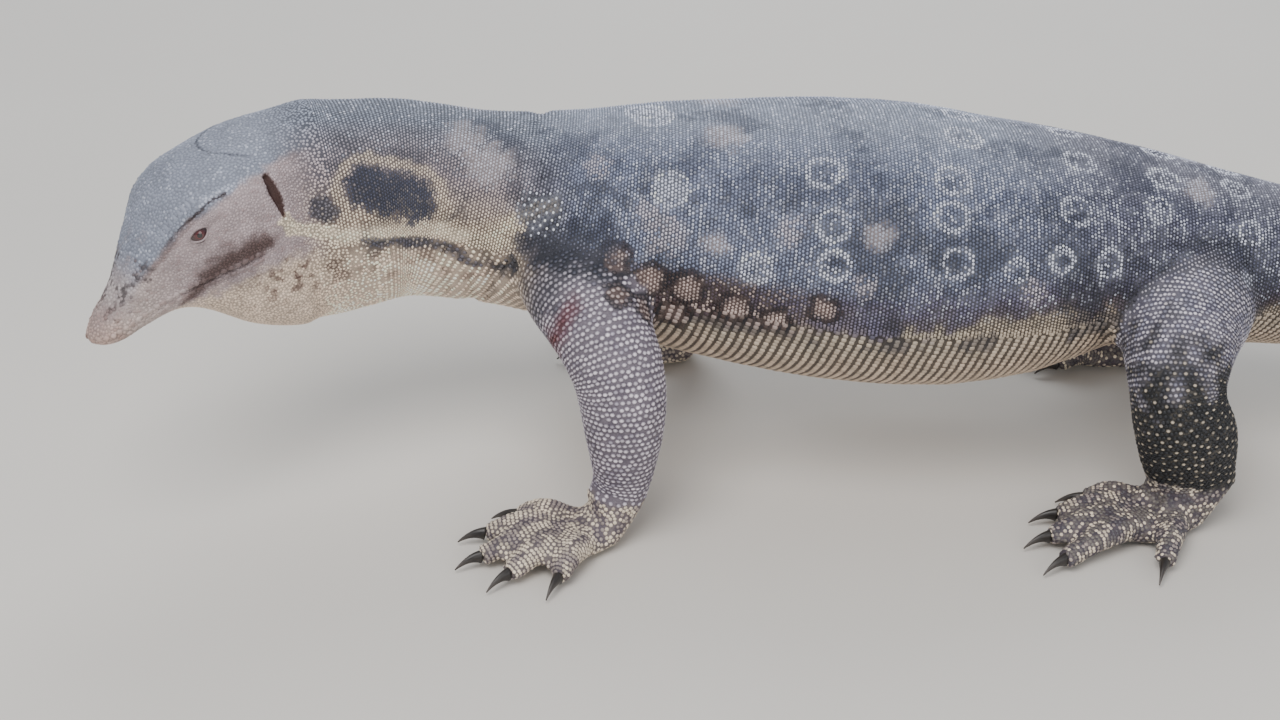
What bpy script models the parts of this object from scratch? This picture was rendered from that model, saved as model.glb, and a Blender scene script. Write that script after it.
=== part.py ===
"""Water monitor lizard, standing with its head lowered and turned: a still, life-size model.

Metres, +Z up. The animal faces -X, its left side is towards -Y, and it stands on the floor at Z = 0.
Each piece is one closed solid, and neighbours meet face to face with a gap of GAP.
"""

import math
from collections import namedtuple

import bmesh
import bpy
import numpy as np
from mathutils import Matrix, Vector

# General sizes
GAP = 0.0003
LIMB_GAP = 0.0005
BODY_SIDES = 30
LIMB_SIDES = 16
TOE_SIDES = 9
CLAW_SIDES = 7
FLOOR_BLOCK = 0.2
UP = Vector((0, 0, 1))

# Stations of the body's tube, from behind the ears to the tip of the tail. x and y are the centre's
# place, z its height, then the half width, the height above and the depth below the centre, and how
# square the section is: 2 is an ellipse, less is pointed and more is boxy.
Station = namedtuple("Station", "name x y z wide above below crest keel")
BODY = [
    Station("behind the ears", -0.190, -0.022, 0.232, 0.058, 0.077, 0.097, 2.2, 2.1),
    Station("throat pouch", -0.135, -0.006, 0.236, 0.060, 0.064, 0.095, 2.2, 2.1),
    Station("neck", -0.070, 0.000, 0.223, 0.064, 0.064, 0.088, 2.2, 2.1),
    Station("shoulder", 0.000, 0.000, 0.207, 0.083, 0.082, 0.083, 2.1, 2.1),
    Station("chest", 0.110, 0.000, 0.195, 0.110, 0.096, 0.099, 2.1, 2.2),
    Station("belly", 0.250, 0.000, 0.184, 0.127, 0.102, 0.107, 2.1, 2.3),
    Station("flank", 0.350, 0.000, 0.179, 0.118, 0.090, 0.097, 2.1, 2.3),
    Station("loin", 0.440, 0.000, 0.174, 0.092, 0.078, 0.067, 2.0, 2.1),
    Station("hips", 0.510, 0.000, 0.166, 0.078, 0.066, 0.067, 2.0, 2.1),
    Station("vent", 0.585, 0.002, 0.150, 0.063, 0.061, 0.060, 2.0, 2.0),
    Station("tail root", 0.680, 0.004, 0.125, 0.050, 0.057, 0.053, 1.9, 2.0),
    Station("tail falls", 0.790, 0.010, 0.078, 0.039, 0.050, 0.046, 1.8, 2.0),
    Station("tail lands", 0.920, 0.030, 0.044, 0.031, 0.044, 0.040, 1.7, 2.0),
    Station("first bend", 1.110, 0.082, 0.0305, 0.0230, 0.036, 0.0320, 1.6, 2.0),
    Station("straight", 1.310, 0.105, 0.0230, 0.0165, 0.028, 0.0245, 1.6, 2.0),
    Station("second bend", 1.500, 0.050, 0.0160, 0.0115, 0.0205, 0.0175, 1.6, 2.0),
    Station("thin tail", 1.650, -0.040, 0.0104, 0.0075, 0.0135, 0.0115, 1.7, 2.0),
    Station("tip", 1.770, -0.125, 0.0044, 0.0030, 0.0055, 0.0050, 2.0, 2.0),
]
# Pieces of the tube: the stations where each starts and ends, and its number of rings
TUBE_PIECES = [
    ("neck", "behind the ears", "shoulder", 13),
    ("torso", "shoulder", "vent", 19),
    ("tail_root", "vent", "tail lands", 13),
    ("tail_middle", "tail lands", "straight", 13),
    ("tail_end", "straight", "tip", 16),
]

# The head's frame: its origin is midway between the ears at the level of the mouth, u runs forwards
# as a share of the distance from ears to snout, y to the animal's left and z to the crown.
HEAD_LENGTH = 0.190
HEAD_ORIGIN = Vector((-0.217, -0.040, 0.259))
HEAD_PITCH = math.radians(26.5)
HEAD_YAW = math.radians(40)
HEAD_ROLL = math.radians(-1.5)
HEAD_START = -0.17
HEAD_STRAIGHT_FROM = 0.45
NECK_BLEND_TO = 0.12
NECK_RING_LIFT = 0.020
HEAD_RINGS = 25
RAIL_STEPS = 3
SNOUT_ROUND_FROM = 0.86
SNOUT_TIP_Z = 0.003
# Rails along the head: at each share of its length, the rail's half width and height
Rail = namedtuple("Rail", "share wide high")
HEAD_RAILS = {
    "crown": [
        Rail(-0.17, 0, 0.053), Rail(0.00, 0, 0.057), Rail(0.20, 0, 0.064), Rail(0.46, 0, 0.062),
        Rail(0.60, 0, 0.047), Rail(0.80, 0, 0.023), Rail(0.93, 0, 0.0135), Rail(1.00, 0, 0.010),
    ],
    "brow": [
        Rail(-0.17, 0.046, 0.040), Rail(0.00, 0.047, 0.042), Rail(0.20, 0.0495, 0.048),
        Rail(0.46, 0.0420, 0.0500), Rail(0.60, 0.031, 0.0375), Rail(0.80, 0.018, 0.017),
        Rail(0.93, 0.013, 0.0105), Rail(1.00, 0.0115, 0.008),
    ],
    "cheek": [
        Rail(-0.17, 0.058, 0.002), Rail(0.00, 0.059, 0.006), Rail(0.20, 0.057, 0.008),
        Rail(0.46, 0.0450, 0.010), Rail(0.60, 0.033, 0.008), Rail(0.80, 0.022, 0.006),
        Rail(0.93, 0.0195, 0.005), Rail(1.00, 0.018, 0.003),
    ],
    "lip": [
        Rail(-0.17, 0.058, -0.032), Rail(0.00, 0.055, -0.020), Rail(0.20, 0.051, -0.012),
        Rail(0.46, 0.041, -0.006), Rail(0.60, 0.0320, -0.003), Rail(0.80, 0.0232, -0.001),
        Rail(0.93, 0.020, 0.000), Rail(1.00, 0.018, 0.000),
    ],
    "jaw": [
        Rail(-0.17, 0.047, -0.080), Rail(0.00, 0.047, -0.084), Rail(0.20, 0.045, -0.082),
        Rail(0.46, 0.034, -0.060), Rail(0.60, 0.0235, -0.0240), Rail(0.80, 0.0158, -0.0115),
        Rail(0.93, 0.013, -0.009), Rail(1.00, 0.012, -0.008),
    ],
    "chin": [
        Rail(-0.17, 0, -0.112), Rail(0.00, 0, -0.108), Rail(0.20, 0, -0.107), Rail(0.46, 0, -0.076),
        Rail(0.60, 0, -0.036), Rail(0.80, 0, -0.0155), Rail(0.93, 0, -0.0120), Rail(1.00, 0, -0.0105),
    ],
}
EYE_SHARE = 0.455
EYE_HEIGHT = 0.0352
EYE_INSET = 0.0090
EYE_RADIUS = 0.0088
LID_HALF_LENGTH = 0.0076
LID_HALF_HEIGHT = 0.0046
LID_THICK = 0.0013
LID_STEPS = 18
MOUTH_FROM = 0.33
MOUTH_DEPTH = 0.0022
MOUTH_HALF_GAP = 0.0007
MOUTH_STEPS = 16
NOSTRIL_SHARE = 0.885
NOSTRIL_HEIGHT = 0.0095
NOSTRIL_RADII = (0.0036, 0.0042, 0.0024)
EAR_SHARE = 0.091
EAR_HEIGHT = 0.0235
EAR_RADII = (0.0036, 0.0065, 0.0150)
EAR_LEAN = math.radians(-4)

# Limbs. Joints are (x, y to the side, z) for a limb on the left, with y counted outwards.
LimbPoint = namedtuple("LimbPoint", "name x out z across deep")
FORELEG = [
    LimbPoint("in the chest", -0.004, 0.030, 0.190, 0.040, 0.046),
    LimbPoint("shoulder", 0.003, 0.074, 0.181, 0.040, 0.045),
    LimbPoint("upper arm", 0.020, 0.113, 0.166, 0.036, 0.040),
    LimbPoint("elbow", 0.034, 0.140, 0.136, 0.031, 0.035),
    LimbPoint("forearm", 0.037, 0.145, 0.094, 0.0270, 0.030),
    LimbPoint("wrist", 0.036, 0.143, 0.052, 0.0210, 0.0230),
    LimbPoint("heel of the hand", 0.026, 0.146, 0.024, 0.0185, 0.0205),
]
HINDLEG = [
    LimbPoint("in the hips", 0.486, 0.020, 0.164, 0.046, 0.046),
    LimbPoint("hip", 0.472, 0.068, 0.158, 0.047, 0.050),
    LimbPoint("thigh", 0.456, 0.108, 0.147, 0.044, 0.045),
    LimbPoint("knee", 0.450, 0.136, 0.118, 0.036, 0.036),
    LimbPoint("calf", 0.461, 0.137, 0.084, 0.0310, 0.038),
    LimbPoint("ankle", 0.471, 0.129, 0.050, 0.0260, 0.0350),
    LimbPoint("heel", 0.477, 0.127, 0.025, 0.0220, 0.0280),
]
LIMB_CUTS = {"upper": (0.0, 3.0), "lower": (3.0, 5.15)}
LIMB_RINGS = {"upper": 11, "lower": 9}
# The gaps at knee and wrist, counted in limb points, which stand about 40 mm apart
KNEE_SLACK = GAP / 0.08
WRIST_SLACK = GAP / 0.02

# Feet. A toe has its heading from the foot's, its length without the claw, and where its root is
# along the palm and across it.
Toe = namedtuple("Toe", "heading length along across")
Foot = namedtuple("Foot", "palm_length palm_wide palm_high toe_thick claw_length toes")
HAND = Foot(
    0.052, 0.030, 0.030, 0.0115, 0.021,
    [
        Toe(34, 0.036, 0.030, -0.020), Toe(15, 0.050, 0.042, -0.012), Toe(-3, 0.056, 0.046, 0.000),
        Toe(-22, 0.052, 0.042, 0.012), Toe(-46, 0.040, 0.030, 0.020),
    ],
)
SOLE = Foot(
    0.062, 0.031, 0.031, 0.0118, 0.021,
    [
        Toe(30, 0.036, 0.040, -0.020), Toe(14, 0.052, 0.052, -0.012), Toe(0, 0.066, 0.056, 0.000),
        Toe(-14, 0.076, 0.052, 0.012), Toe(-50, 0.048, 0.028, 0.021),
    ],
)
TOE_KNUCKLE_HEIGHT = 0.0175
TOE_TIP_HEIGHT = 0.0100
TOE_RINGS = 6
CLAW_ROOT_RADIUS = 0.0050
CLAW_TIP_RADIUS = 0.0006
CLAW_RINGS = 5

# Each limb: name, side (-1 is the left), kind, how far its joints and foot stand from the left
# one's places, and the foot's heading outwards from straight ahead
Limb = namedtuple("Limb", "name side kind step_x step_out toe_out")
LIMBS = [
    Limb("foreleg_left", -1, "fore", 0.0, 0.0, math.radians(20)),
    Limb("foreleg_right", 1, "fore", 0.070, -0.008, math.radians(12)),
    Limb("hindleg_left", -1, "hind", 0.0, 0.0, math.radians(18)),
    Limb("hindleg_right", 1, "hind", 0.022, -0.004, math.radians(14)),
]

# Each finish: colour as seen, roughness
FINISHES = {
    "skin": ((0.20, 0.21, 0.25), 0.62),
    "eye": ((0.20, 0.07, 0.06), 0.15),
    "claw": ((0.09, 0.08, 0.08), 0.40),
}


def clear_scene():
    for thing in list(bpy.data.objects):
        bpy.data.objects.remove(thing)


def finish_named(name):
    """The material of that name, made once."""
    found = bpy.data.materials.get(name)
    if found:
        return found
    colour, roughness = FINISHES[name]
    made = bpy.data.materials.new(name)
    made.use_nodes = True
    shader = made.node_tree.nodes["Principled BSDF"]
    shader.inputs["Base Color"].default_value = (*colour, 1)
    shader.inputs["Roughness"].default_value = roughness
    shader.inputs["Metallic"].default_value = 0
    return made


def object_from(name, mesh, finish="skin"):
    mesh.shade_smooth()
    mesh.materials.append(finish_named(finish))
    made = bpy.data.objects.new(name, mesh)
    bpy.context.scene.collection.objects.link(made)
    return made


def smooth_value(keys, values, at):
    """The value at a place between keys, on a smooth curve through them."""
    values = np.asarray(values, float)
    slopes = np.gradient(values, keys, axis=0)
    i = int(np.clip(np.searchsorted(keys, at) - 1, 0, len(keys) - 2))
    span = keys[i + 1] - keys[i]
    t = (at - keys[i]) / span
    start, end = 2 * t**3 - 3 * t**2 + 1, -2 * t**3 + 3 * t**2
    leave, arrive = t**3 - 2 * t**2 + t, t**3 - t**2
    return (start * values[i] + end * values[i + 1]
            + span * (leave * slopes[i] + arrive * slopes[i + 1]))


def ease(low, high, at):
    """0 below low, 1 above high, and smooth between them."""
    t = min(max((at - low) / (high - low), 0.0), 1.0)
    return t * t * (3 - 2 * t)


def loft(name, rings, finish="skin"):
    """A closed piece through rings of points, each ring seen from the first end turning clockwise."""
    shape = bmesh.new()
    rows = [[shape.verts.new(point) for point in ring] for ring in rings]
    for near, far in zip(rows, rows[1:]):
        for i in range(len(near)):
            j = (i + 1) % len(near)
            shape.faces.new((near[i], near[j], far[j], far[i]))
    shape.faces.new(rows[0][::-1])
    shape.faces.new(rows[-1])
    bmesh.ops.recalc_face_normals(shape, faces=shape.faces)
    mesh = bpy.data.meshes.new(name)
    shape.to_mesh(mesh)
    shape.free()
    return object_from(name, mesh, finish)


def largest_shell(mesh):
    """Keeps only the largest closed surface of a mesh."""
    shape = bmesh.new()
    shape.from_mesh(mesh)
    shape.verts.ensure_lookup_table()
    seen, shells = set(), []
    for start in shape.verts:
        if start in seen:
            continue
        shell, waiting = {start}, [start]
        while waiting:
            for link in waiting.pop().link_edges:
                for end in link.verts:
                    if end not in shell:
                        shell.add(end)
                        waiting.append(end)
        seen |= shell
        shells.append(shell)
    kept = max(shells, key=len)
    bmesh.ops.delete(shape, geom=[v for v in shape.verts if v not in kept], context="VERTS")
    shape.to_mesh(mesh)
    shape.free()


def combine(base, others, operation):
    """Joins the other pieces to the base, or cuts them from it, and removes them."""
    group = bpy.data.collections.new(base.name + "_parts")
    bpy.context.scene.collection.children.link(group)
    for other in others:
        bpy.context.scene.collection.objects.unlink(other)
        group.objects.link(other)
    step = base.modifiers.new(operation.lower(), "BOOLEAN")
    step.operation = operation
    step.operand_type = "COLLECTION"
    step.collection = group
    step.solver = "EXACT"
    bpy.context.view_layer.update()
    graph = bpy.context.evaluated_depsgraph_get()
    result = bpy.data.meshes.new_from_object(base.evaluated_get(graph))
    base.modifiers.clear()
    base.data = result
    for other in others:
        bpy.data.objects.remove(other)
    bpy.data.collections.remove(group)
    largest_shell(base.data)
    base.data.shade_smooth()
    return base


# The body's tube

def station_keys():
    """Each station's distance along the body from the first one."""
    places = np.array([(s.x, s.y, s.z) for s in BODY])
    return np.concatenate([[0], np.cumsum(np.linalg.norm(np.diff(places, axis=0), axis=1))])


BODY_KEYS = station_keys()


def key_of(station_name):
    return BODY_KEYS[[s.name for s in BODY].index(station_name)]


def body_frame(at):
    """The centre of the body's tube at a distance along it, its direction, left side and back."""
    places = [(s.x, s.y, s.z) for s in BODY]
    reach = 0.002
    low, high = max(at - reach, 0), min(at + reach, BODY_KEYS[-1])
    centre = Vector(smooth_value(BODY_KEYS, places, at))
    ahead = Vector(smooth_value(BODY_KEYS, places, high)) - Vector(smooth_value(BODY_KEYS, places, low))
    ahead.normalize()
    left = ahead.cross(UP).normalized()
    return centre, ahead, left, left.cross(ahead)


def body_ring(at, grow=0.0):
    """Points round the body's tube, starting at the back and turning to the left."""
    centre, ahead, left, up = body_frame(at)
    sizes = [(s.wide, s.above, s.below, s.crest, s.keel) for s in BODY]
    wide, above, below, crest, keel = smooth_value(BODY_KEYS, sizes, at)
    points = []
    for i in range(BODY_SIDES):
        turn = 2 * math.pi * i / BODY_SIDES
        side, rise = math.sin(turn), math.cos(turn)
        power = 2 / (crest if rise > 0 else keel)
        height = (above if rise > 0 else below) + grow
        across = math.copysign(abs(side) ** power, side) * (wide + grow)
        points.append(centre + left * across + up * math.copysign(abs(rise) ** power, rise) * height)
    return points


def piece_keys(first, last, count):
    """Where the rings of one piece of the tube are, with half the gap left at each end."""
    start, end = key_of(first), key_of(last)
    if first != BODY[0].name:
        start += GAP / 2
    if last != BODY[-1].name:
        end -= GAP / 2
    return [start + (end - start) * i / (count - 1) for i in range(count)]


def make_body():
    """Neck, torso and the tail's three lengths."""
    return [
        loft(name, [body_ring(at) for at in piece_keys(first, last, count)])
        for name, first, last, count in TUBE_PIECES
    ]


def body_cutter():
    """The body's tube, a little fuller, to cut the limbs' roots with."""
    keys = [at for _, *ends in TUBE_PIECES[:3] for at in piece_keys(*ends)]
    return loft("body_cutter", [body_ring(at, LIMB_GAP) for at in keys])


# The head

def head_axes():
    """The head's forward, left and up directions, forward of where it is straight."""
    forward = Vector((
        -math.cos(HEAD_PITCH) * math.cos(HEAD_YAW),
        -math.cos(HEAD_PITCH) * math.sin(HEAD_YAW),
        -math.sin(HEAD_PITCH),
    ))
    level = UP.cross(forward).normalized()
    left = level * math.cos(HEAD_ROLL) - forward.cross(level) * math.sin(HEAD_ROLL)
    return forward, left, forward.cross(left)


def turn_of(forward, left, up):
    return Matrix((forward, left, up)).transposed().to_quaternion()


def head_frame(share):
    """The head's centre at a share of its length and its axes, bending from the neck's."""
    forward, left, up = head_axes()
    middle, tailward, neck_left, neck_up = body_frame(0)
    start = middle - tailward * GAP + neck_up * NECK_RING_LIFT
    if share >= HEAD_STRAIGHT_FROM:
        return HEAD_ORIGIN + forward * share * HEAD_LENGTH, forward, left, up
    end = HEAD_ORIGIN + forward * HEAD_STRAIGHT_FROM * HEAD_LENGTH
    t = (share - HEAD_START) / (HEAD_STRAIGHT_FROM - HEAD_START)
    reach = (end - start).length
    centre = (
        start * (2 * t**3 - 3 * t**2 + 1) + end * (3 * t**2 - 2 * t**3)
        - tailward * reach * (t**3 - 2 * t**2 + t) + forward * reach * (t**3 - t**2)
    )
    turned = turn_of(-tailward, neck_left, neck_up).slerp(turn_of(forward, left, up), ease(0, 1, t))
    axes = turned.to_matrix().transposed()
    return centre, axes[0], axes[1], axes[2]


def head_point(share, wide, high):
    """A place on or in the head, wide to its left and high above the level of the mouth."""
    centre, _, left, up = head_frame(share)
    return centre + left * wide + up * high


def rail_at(name, share):
    rail = HEAD_RAILS[name]
    return smooth_value([r.share for r in rail], [(r.wide, r.high) for r in rail], share)


def snout_taper(share):
    """How far the section has shrunk towards the rounded tip of the snout."""
    t = max((share - SNOUT_ROUND_FROM) / (1 - SNOUT_ROUND_FROM), 0)
    return math.sqrt(max(1 - t**2.2, 0.0016))


def neck_outline():
    """The neck's front ring, as widths and heights in the head's frame."""
    middle, _, left, up = body_frame(0)
    lifted = middle + up * NECK_RING_LIFT
    return [((point - lifted).dot(left), (point - lifted).dot(up)) for point in body_ring(0)]


def head_section(share):
    """The head's outline at a share of its length, from the crown down its left side and round."""
    names = list(HEAD_RAILS)
    corners = [tuple(rail_at(name, share)) for name in names]
    mirrored = [(-wide, high) for wide, high in corners[-2:0:-1]]
    loop = np.array(corners + mirrored)
    count, points = len(loop), []
    for i in range(count):
        before, here, after, next_one = (loop[(i + k) % count] for k in (-1, 0, 1, 2))
        for step in range(RAIL_STEPS):
            t = step / RAIL_STEPS
            points.append(0.5 * (
                2 * here + (after - before) * t
                + (2 * before - 5 * here + 4 * after - next_one) * t**2
                + (3 * here - before - 3 * after + next_one) * t**3
            ))
    taper = snout_taper(share)
    own = [(wide * taper, SNOUT_TIP_Z + (high - SNOUT_TIP_Z) * taper) for wide, high in points]
    kept = 1 - ease(HEAD_START, NECK_BLEND_TO, share)
    return [
        (mine[0] * (1 - kept) + neck[0] * kept, mine[1] * (1 - kept) + neck[1] * kept)
        for mine, neck in zip(own, neck_outline())
    ]


def head_ring(share):
    centre, _, left, up = head_frame(share)
    return [centre + left * wide + up * high for wide, high in head_section(share)]


def surface_width(share, high):
    """How wide the head is at a height above its axis, on its left side."""
    section = head_section(share)[: 5 * RAIL_STEPS + 1]
    heights = [point[1] for point in section][::-1]
    widths = [point[0] for point in section][::-1]
    return float(np.interp(high, heights, widths))


def ellipsoid(name, centre, axes, radii, rings=10, sides=14):
    """A closed ball stretched along three directions."""
    shape = bmesh.new()
    bmesh.ops.create_uvsphere(shape, u_segments=sides, v_segments=rings, radius=1)
    placed = Matrix.Identity(4)
    for column, (axis, radius) in enumerate(zip(axes, radii)):
        placed.col[column] = (*(axis * radius), 0)
    placed.translation = centre
    shape.transform(placed)
    bmesh.ops.recalc_face_normals(shape, faces=shape.faces)
    mesh = bpy.data.meshes.new(name)
    shape.to_mesh(mesh)
    shape.free()
    return object_from(name, mesh)


def eye_place(side):
    """The eyeball's centre, for side -1 (left) or 1."""
    wide = surface_width(EYE_SHARE, EYE_HEIGHT) - EYE_INSET
    centre = head_point(EYE_SHARE, -side * wide, EYE_HEIGHT)
    return centre


def lid_line(side):
    """Points round the edge of the lids, an oval on the surface of the face."""
    points = []
    for i in range(LID_STEPS):
        turn = 2 * math.pi * i / LID_STEPS
        share = EYE_SHARE + LID_HALF_LENGTH / HEAD_LENGTH * math.cos(turn)
        high = EYE_HEIGHT + LID_HALF_HEIGHT * math.sin(turn)
        points.append(head_point(share, -side * surface_width(share, high), high))
    return points


def lids(side):
    """The rim of both lids, a thin roll round their edge."""
    centre, line = eye_place(side), lid_line(side)
    rings = []
    for i, point in enumerate(line):
        outward = (point - centre).normalized()
        travel = (line[(i + 1) % LID_STEPS] - line[i - 1]).normalized()
        level = travel.cross(outward).normalized()
        rings.append([
            point + (outward * math.cos(a) + level * math.sin(a)) * LID_THICK
            for a in (2 * math.pi * k / 8 for k in range(8))
        ])
    return closed_band(f"lids_{side}", rings)


def lid_opening(side):
    """The wedge between the lids, from inside the eyeball out past the face."""
    centre, line = eye_place(side), lid_line(side)
    return loft("lid_opening", [[centre + (point - centre) * reach for point in line]
                                for reach in (0.5, 0.9, 1.3)])


def closed_band(name, rings):
    """A ring-shaped piece: the last ring joins the first."""
    shape = bmesh.new()
    rows = [[shape.verts.new(point) for point in ring] for ring in rings]
    for near, far in zip(rows, rows[1:] + rows[:1]):
        for i in range(len(near)):
            j = (i + 1) % len(near)
            shape.faces.new((near[i], near[j], far[j], far[i]))
    bmesh.ops.recalc_face_normals(shape, faces=shape.faces)
    mesh = bpy.data.meshes.new(name)
    shape.to_mesh(mesh)
    shape.free()
    return object_from(name, mesh)


def mouth_line():
    """A thin wedge round the muzzle, from one corner of the mouth to the other."""
    _, _, up = head_axes()
    shares = [MOUTH_FROM + (1 - MOUTH_FROM) * math.sin(math.pi / 2 * i / MOUTH_STEPS)
              for i in range(MOUTH_STEPS + 1)]
    left_side = [(share, 1) for share in shares[:-1]]
    path = left_side + [(1.0, 0)] + [(share, -1) for share, _ in left_side[::-1]]
    points = []
    for share, side in path:
        wide, high = rail_at("lip", share)
        taper = snout_taper(share) if side else 0
        points.append(head_point(share, side * wide * taper, SNOUT_TIP_Z + (high - SNOUT_TIP_Z)))
    rings = []
    for i, point in enumerate(points):
        travel = points[min(i + 1, len(points) - 1)] - points[max(i - 1, 0)]
        out = up.cross(travel).normalized() * -1
        fade = ease(0, 3, i) * ease(0, 3, len(points) - 1 - i)
        depth = MOUTH_DEPTH * (0.15 + 0.85 * fade)
        rings.append([
            point + out * 0.003 + up * MOUTH_HALF_GAP * 2,
            point + out * 0.003 - up * MOUTH_HALF_GAP * 2,
            point - out * depth,
        ])
    return loft("mouth_line", rings)


def make_head():
    """The head with its lids, mouth line, nostrils and ear openings, and the two eyes."""
    forward, left, up = head_axes()
    steps = [1 - (1 - i / (HEAD_RINGS - 1)) ** 1.25 for i in range(HEAD_RINGS)]
    head = loft("head", [head_ring(HEAD_START + (1 - HEAD_START) * step) for step in steps])
    combine(head, [lids(-1), lids(1)], "UNION")
    cutters = [mouth_line()]
    for side in (-1, 1):
        socket = (EYE_RADIUS + GAP,) * 3
        cutters.append(ellipsoid("socket", eye_place(side), (forward, left, up), socket, 12, 16))
        cutters.append(lid_opening(side))
        nostril_wide = surface_width(NOSTRIL_SHARE, NOSTRIL_HEIGHT)
        cutters.append(ellipsoid(
            "nostril", head_point(NOSTRIL_SHARE, -side * nostril_wide, NOSTRIL_HEIGHT),
            (forward, left, up), NOSTRIL_RADII, 8, 10,
        ))
        ear_at = head_point(EAR_SHARE, -side * surface_width(EAR_SHARE, EAR_HEIGHT), EAR_HEIGHT)
        _, *ear_axes = head_frame(EAR_SHARE)
        lean = Matrix.Rotation(EAR_LEAN, 3, ear_axes[1])
        ear_axes = [lean @ axis for axis in ear_axes]
        cutters.append(ellipsoid("ear_opening", ear_at, ear_axes, EAR_RADII, 10, 12))
    combine(head, cutters, "DIFFERENCE")
    eyes = []
    for side, name in ((-1, "eye_left"), (1, "eye_right")):
        eye = ellipsoid(name, eye_place(side), (forward, left, up), (EYE_RADIUS,) * 3, 10, 14)
        eye.data.materials.clear()
        eye.data.materials.append(finish_named("eye"))
        eyes.append(eye)
    return [head] + eyes


# Limbs

def limb_places(limb):
    """The limb's points in space, with the roots where they are and the foot moved by its step."""
    points = FORELEG if limb.kind == "fore" else HINDLEG
    placed = []
    for i, p in enumerate(points):
        moved = ease(1, len(points) - 2, i)
        placed.append((p.x + limb.step_x * moved, limb.side * (p.out + limb.step_out * moved), p.z))
    return np.array(placed), np.array([(p.across, p.deep) for p in points])


def limb_ring(limb, at):
    """Points round the limb at a place counted in its named points."""
    places, sizes = limb_places(limb)
    keys = np.arange(len(places))
    reach = 0.02
    low, high = max(at - reach, 0), min(at + reach, keys[-1])
    centre = Vector(smooth_value(keys, places, at))
    ahead = Vector(smooth_value(keys, places, high)) - Vector(smooth_value(keys, places, low))
    ahead.normalize()
    nose = Vector((-1, 0, 0))
    deep_way = (nose - ahead * nose.dot(ahead)).normalized()
    across_way = ahead.cross(deep_way)
    across, deep = smooth_value(keys, sizes, at)
    turns = [2 * math.pi * i / LIMB_SIDES for i in range(LIMB_SIDES)]
    return [centre + deep_way * deep * math.cos(t) + across_way * across * math.sin(t) for t in turns]


def make_limb_tube(limb, part):
    start, end = LIMB_CUTS[part]
    if part == "lower":
        start += KNEE_SLACK
    else:
        end -= KNEE_SLACK
    count = LIMB_RINGS[part]
    rings = [limb_ring(limb, start + (end - start) * i / (count - 1)) for i in range(count)]
    piece = loft(f"{limb.name}_{part}", rings)
    if part == "upper":
        combine(piece, [body_cutter()], "DIFFERENCE")
    return piece


def foot_frame(limb):
    """The place under the ankle or wrist on the floor, and the foot's forward and outward ways."""
    places, _ = limb_places(limb)
    x, y, _ = places[-1]
    forward = Vector((-math.cos(limb.toe_out), limb.side * math.sin(limb.toe_out), 0))
    outward = Vector((math.sin(limb.toe_out), limb.side * math.cos(limb.toe_out), 0))
    return Vector((x, y, 0)), forward, outward


def palm_rings(limb, foot):
    """Rings from the wrist's cut down and forwards through the palm."""
    ground, forward, outward = foot_frame(limb)
    start = limb_ring(limb, LIMB_CUTS["lower"][1] + WRIST_SLACK)
    places, _ = limb_places(limb)
    heel = Vector(places[-1])
    rings = [start]
    rings.append([point * 0.45 + (heel + (point - sum_centre(start)) * 1.02) * 0.55 for point in start])
    for share, wide, high in ((0.10, 0.78, 0.92), (0.38, 0.94, 0.80), (0.68, 1.0, 0.66),
                              (0.90, 0.92, 0.52), (1.0, 0.70, 0.36)):
        centre = ground + forward * foot.palm_length * share + UP * foot.palm_high * high * 0.46
        tilt = (1 - share) * 0.6
        ring_up = (UP * math.cos(tilt) + forward * math.sin(tilt)).normalized()
        rings.append([
            centre + ring_up * foot.palm_high * high * 0.55 * math.cos(t)
            + outward * foot.palm_wide * wide * math.sin(t)
            for t in (2 * math.pi * i / LIMB_SIDES for i in range(LIMB_SIDES))
        ])
    return rings


def sum_centre(ring):
    return sum(ring, Vector()) / len(ring)


def toe_curve(ground, forward, outward, toe, share):
    """The middle of a toe at a share of its length: up over the knuckle and down to the tip."""
    turn = math.radians(-toe.heading)
    way = forward * math.cos(turn) + outward * math.sin(turn)
    root = ground + forward * toe.along + outward * toe.across
    rise = smooth_value([-0.35, 0, 0.45, 1.0],
                        [0.010, 0.0135, TOE_KNUCKLE_HEIGHT, TOE_TIP_HEIGHT], share)
    return root + way * toe.length * share + UP * float(rise)


def toe_ring(ground, forward, outward, toe, share, radius, sides):
    here = toe_curve(ground, forward, outward, toe, share)
    ahead = (toe_curve(ground, forward, outward, toe, share + 0.02) - here).normalized()
    side = ahead.cross(UP).normalized()
    up = side.cross(ahead)
    turns = [2 * math.pi * i / sides for i in range(sides)]
    return [here + up * radius * math.cos(t) + side * radius * math.sin(t) for t in turns]


def make_foot(limb):
    """The foot with its toes fused on, flat where it stands, and its claws."""
    foot = HAND if limb.kind == "fore" else SOLE
    ground, forward, outward = foot_frame(limb)
    part = "forefoot" if limb.kind == "fore" else "hindfoot"
    side = "left" if limb.side < 0 else "right"
    palm = match_palm(limb, foot, f"{part}_{side}")
    toes, claws = [], []
    for number, toe in enumerate(foot.toes, 1):
        rings = []
        for i in range(TOE_RINGS + 1):
            share = -0.30 + 1.30 * i / TOE_RINGS
            swell = 1.0 - 0.22 * ease(0, 1, share) + 0.10 * math.exp(-((share - 0.45) / 0.16) ** 2)
            rings.append(toe_ring(ground, forward, outward, toe, share, foot.toe_thick * swell, TOE_SIDES))
        rings.append(toe_ring(ground, forward, outward, toe, 1.04, foot.toe_thick * 0.62, TOE_SIDES))
        toes.append(loft("toe", rings))
        claws.append(make_claw(f"{part}_{side}_claw_{number}", ground, forward, outward, toe, foot))
    combine(palm, toes, "UNION")
    combine(palm, [floor_block()], "DIFFERENCE")
    return [palm] + claws


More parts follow.
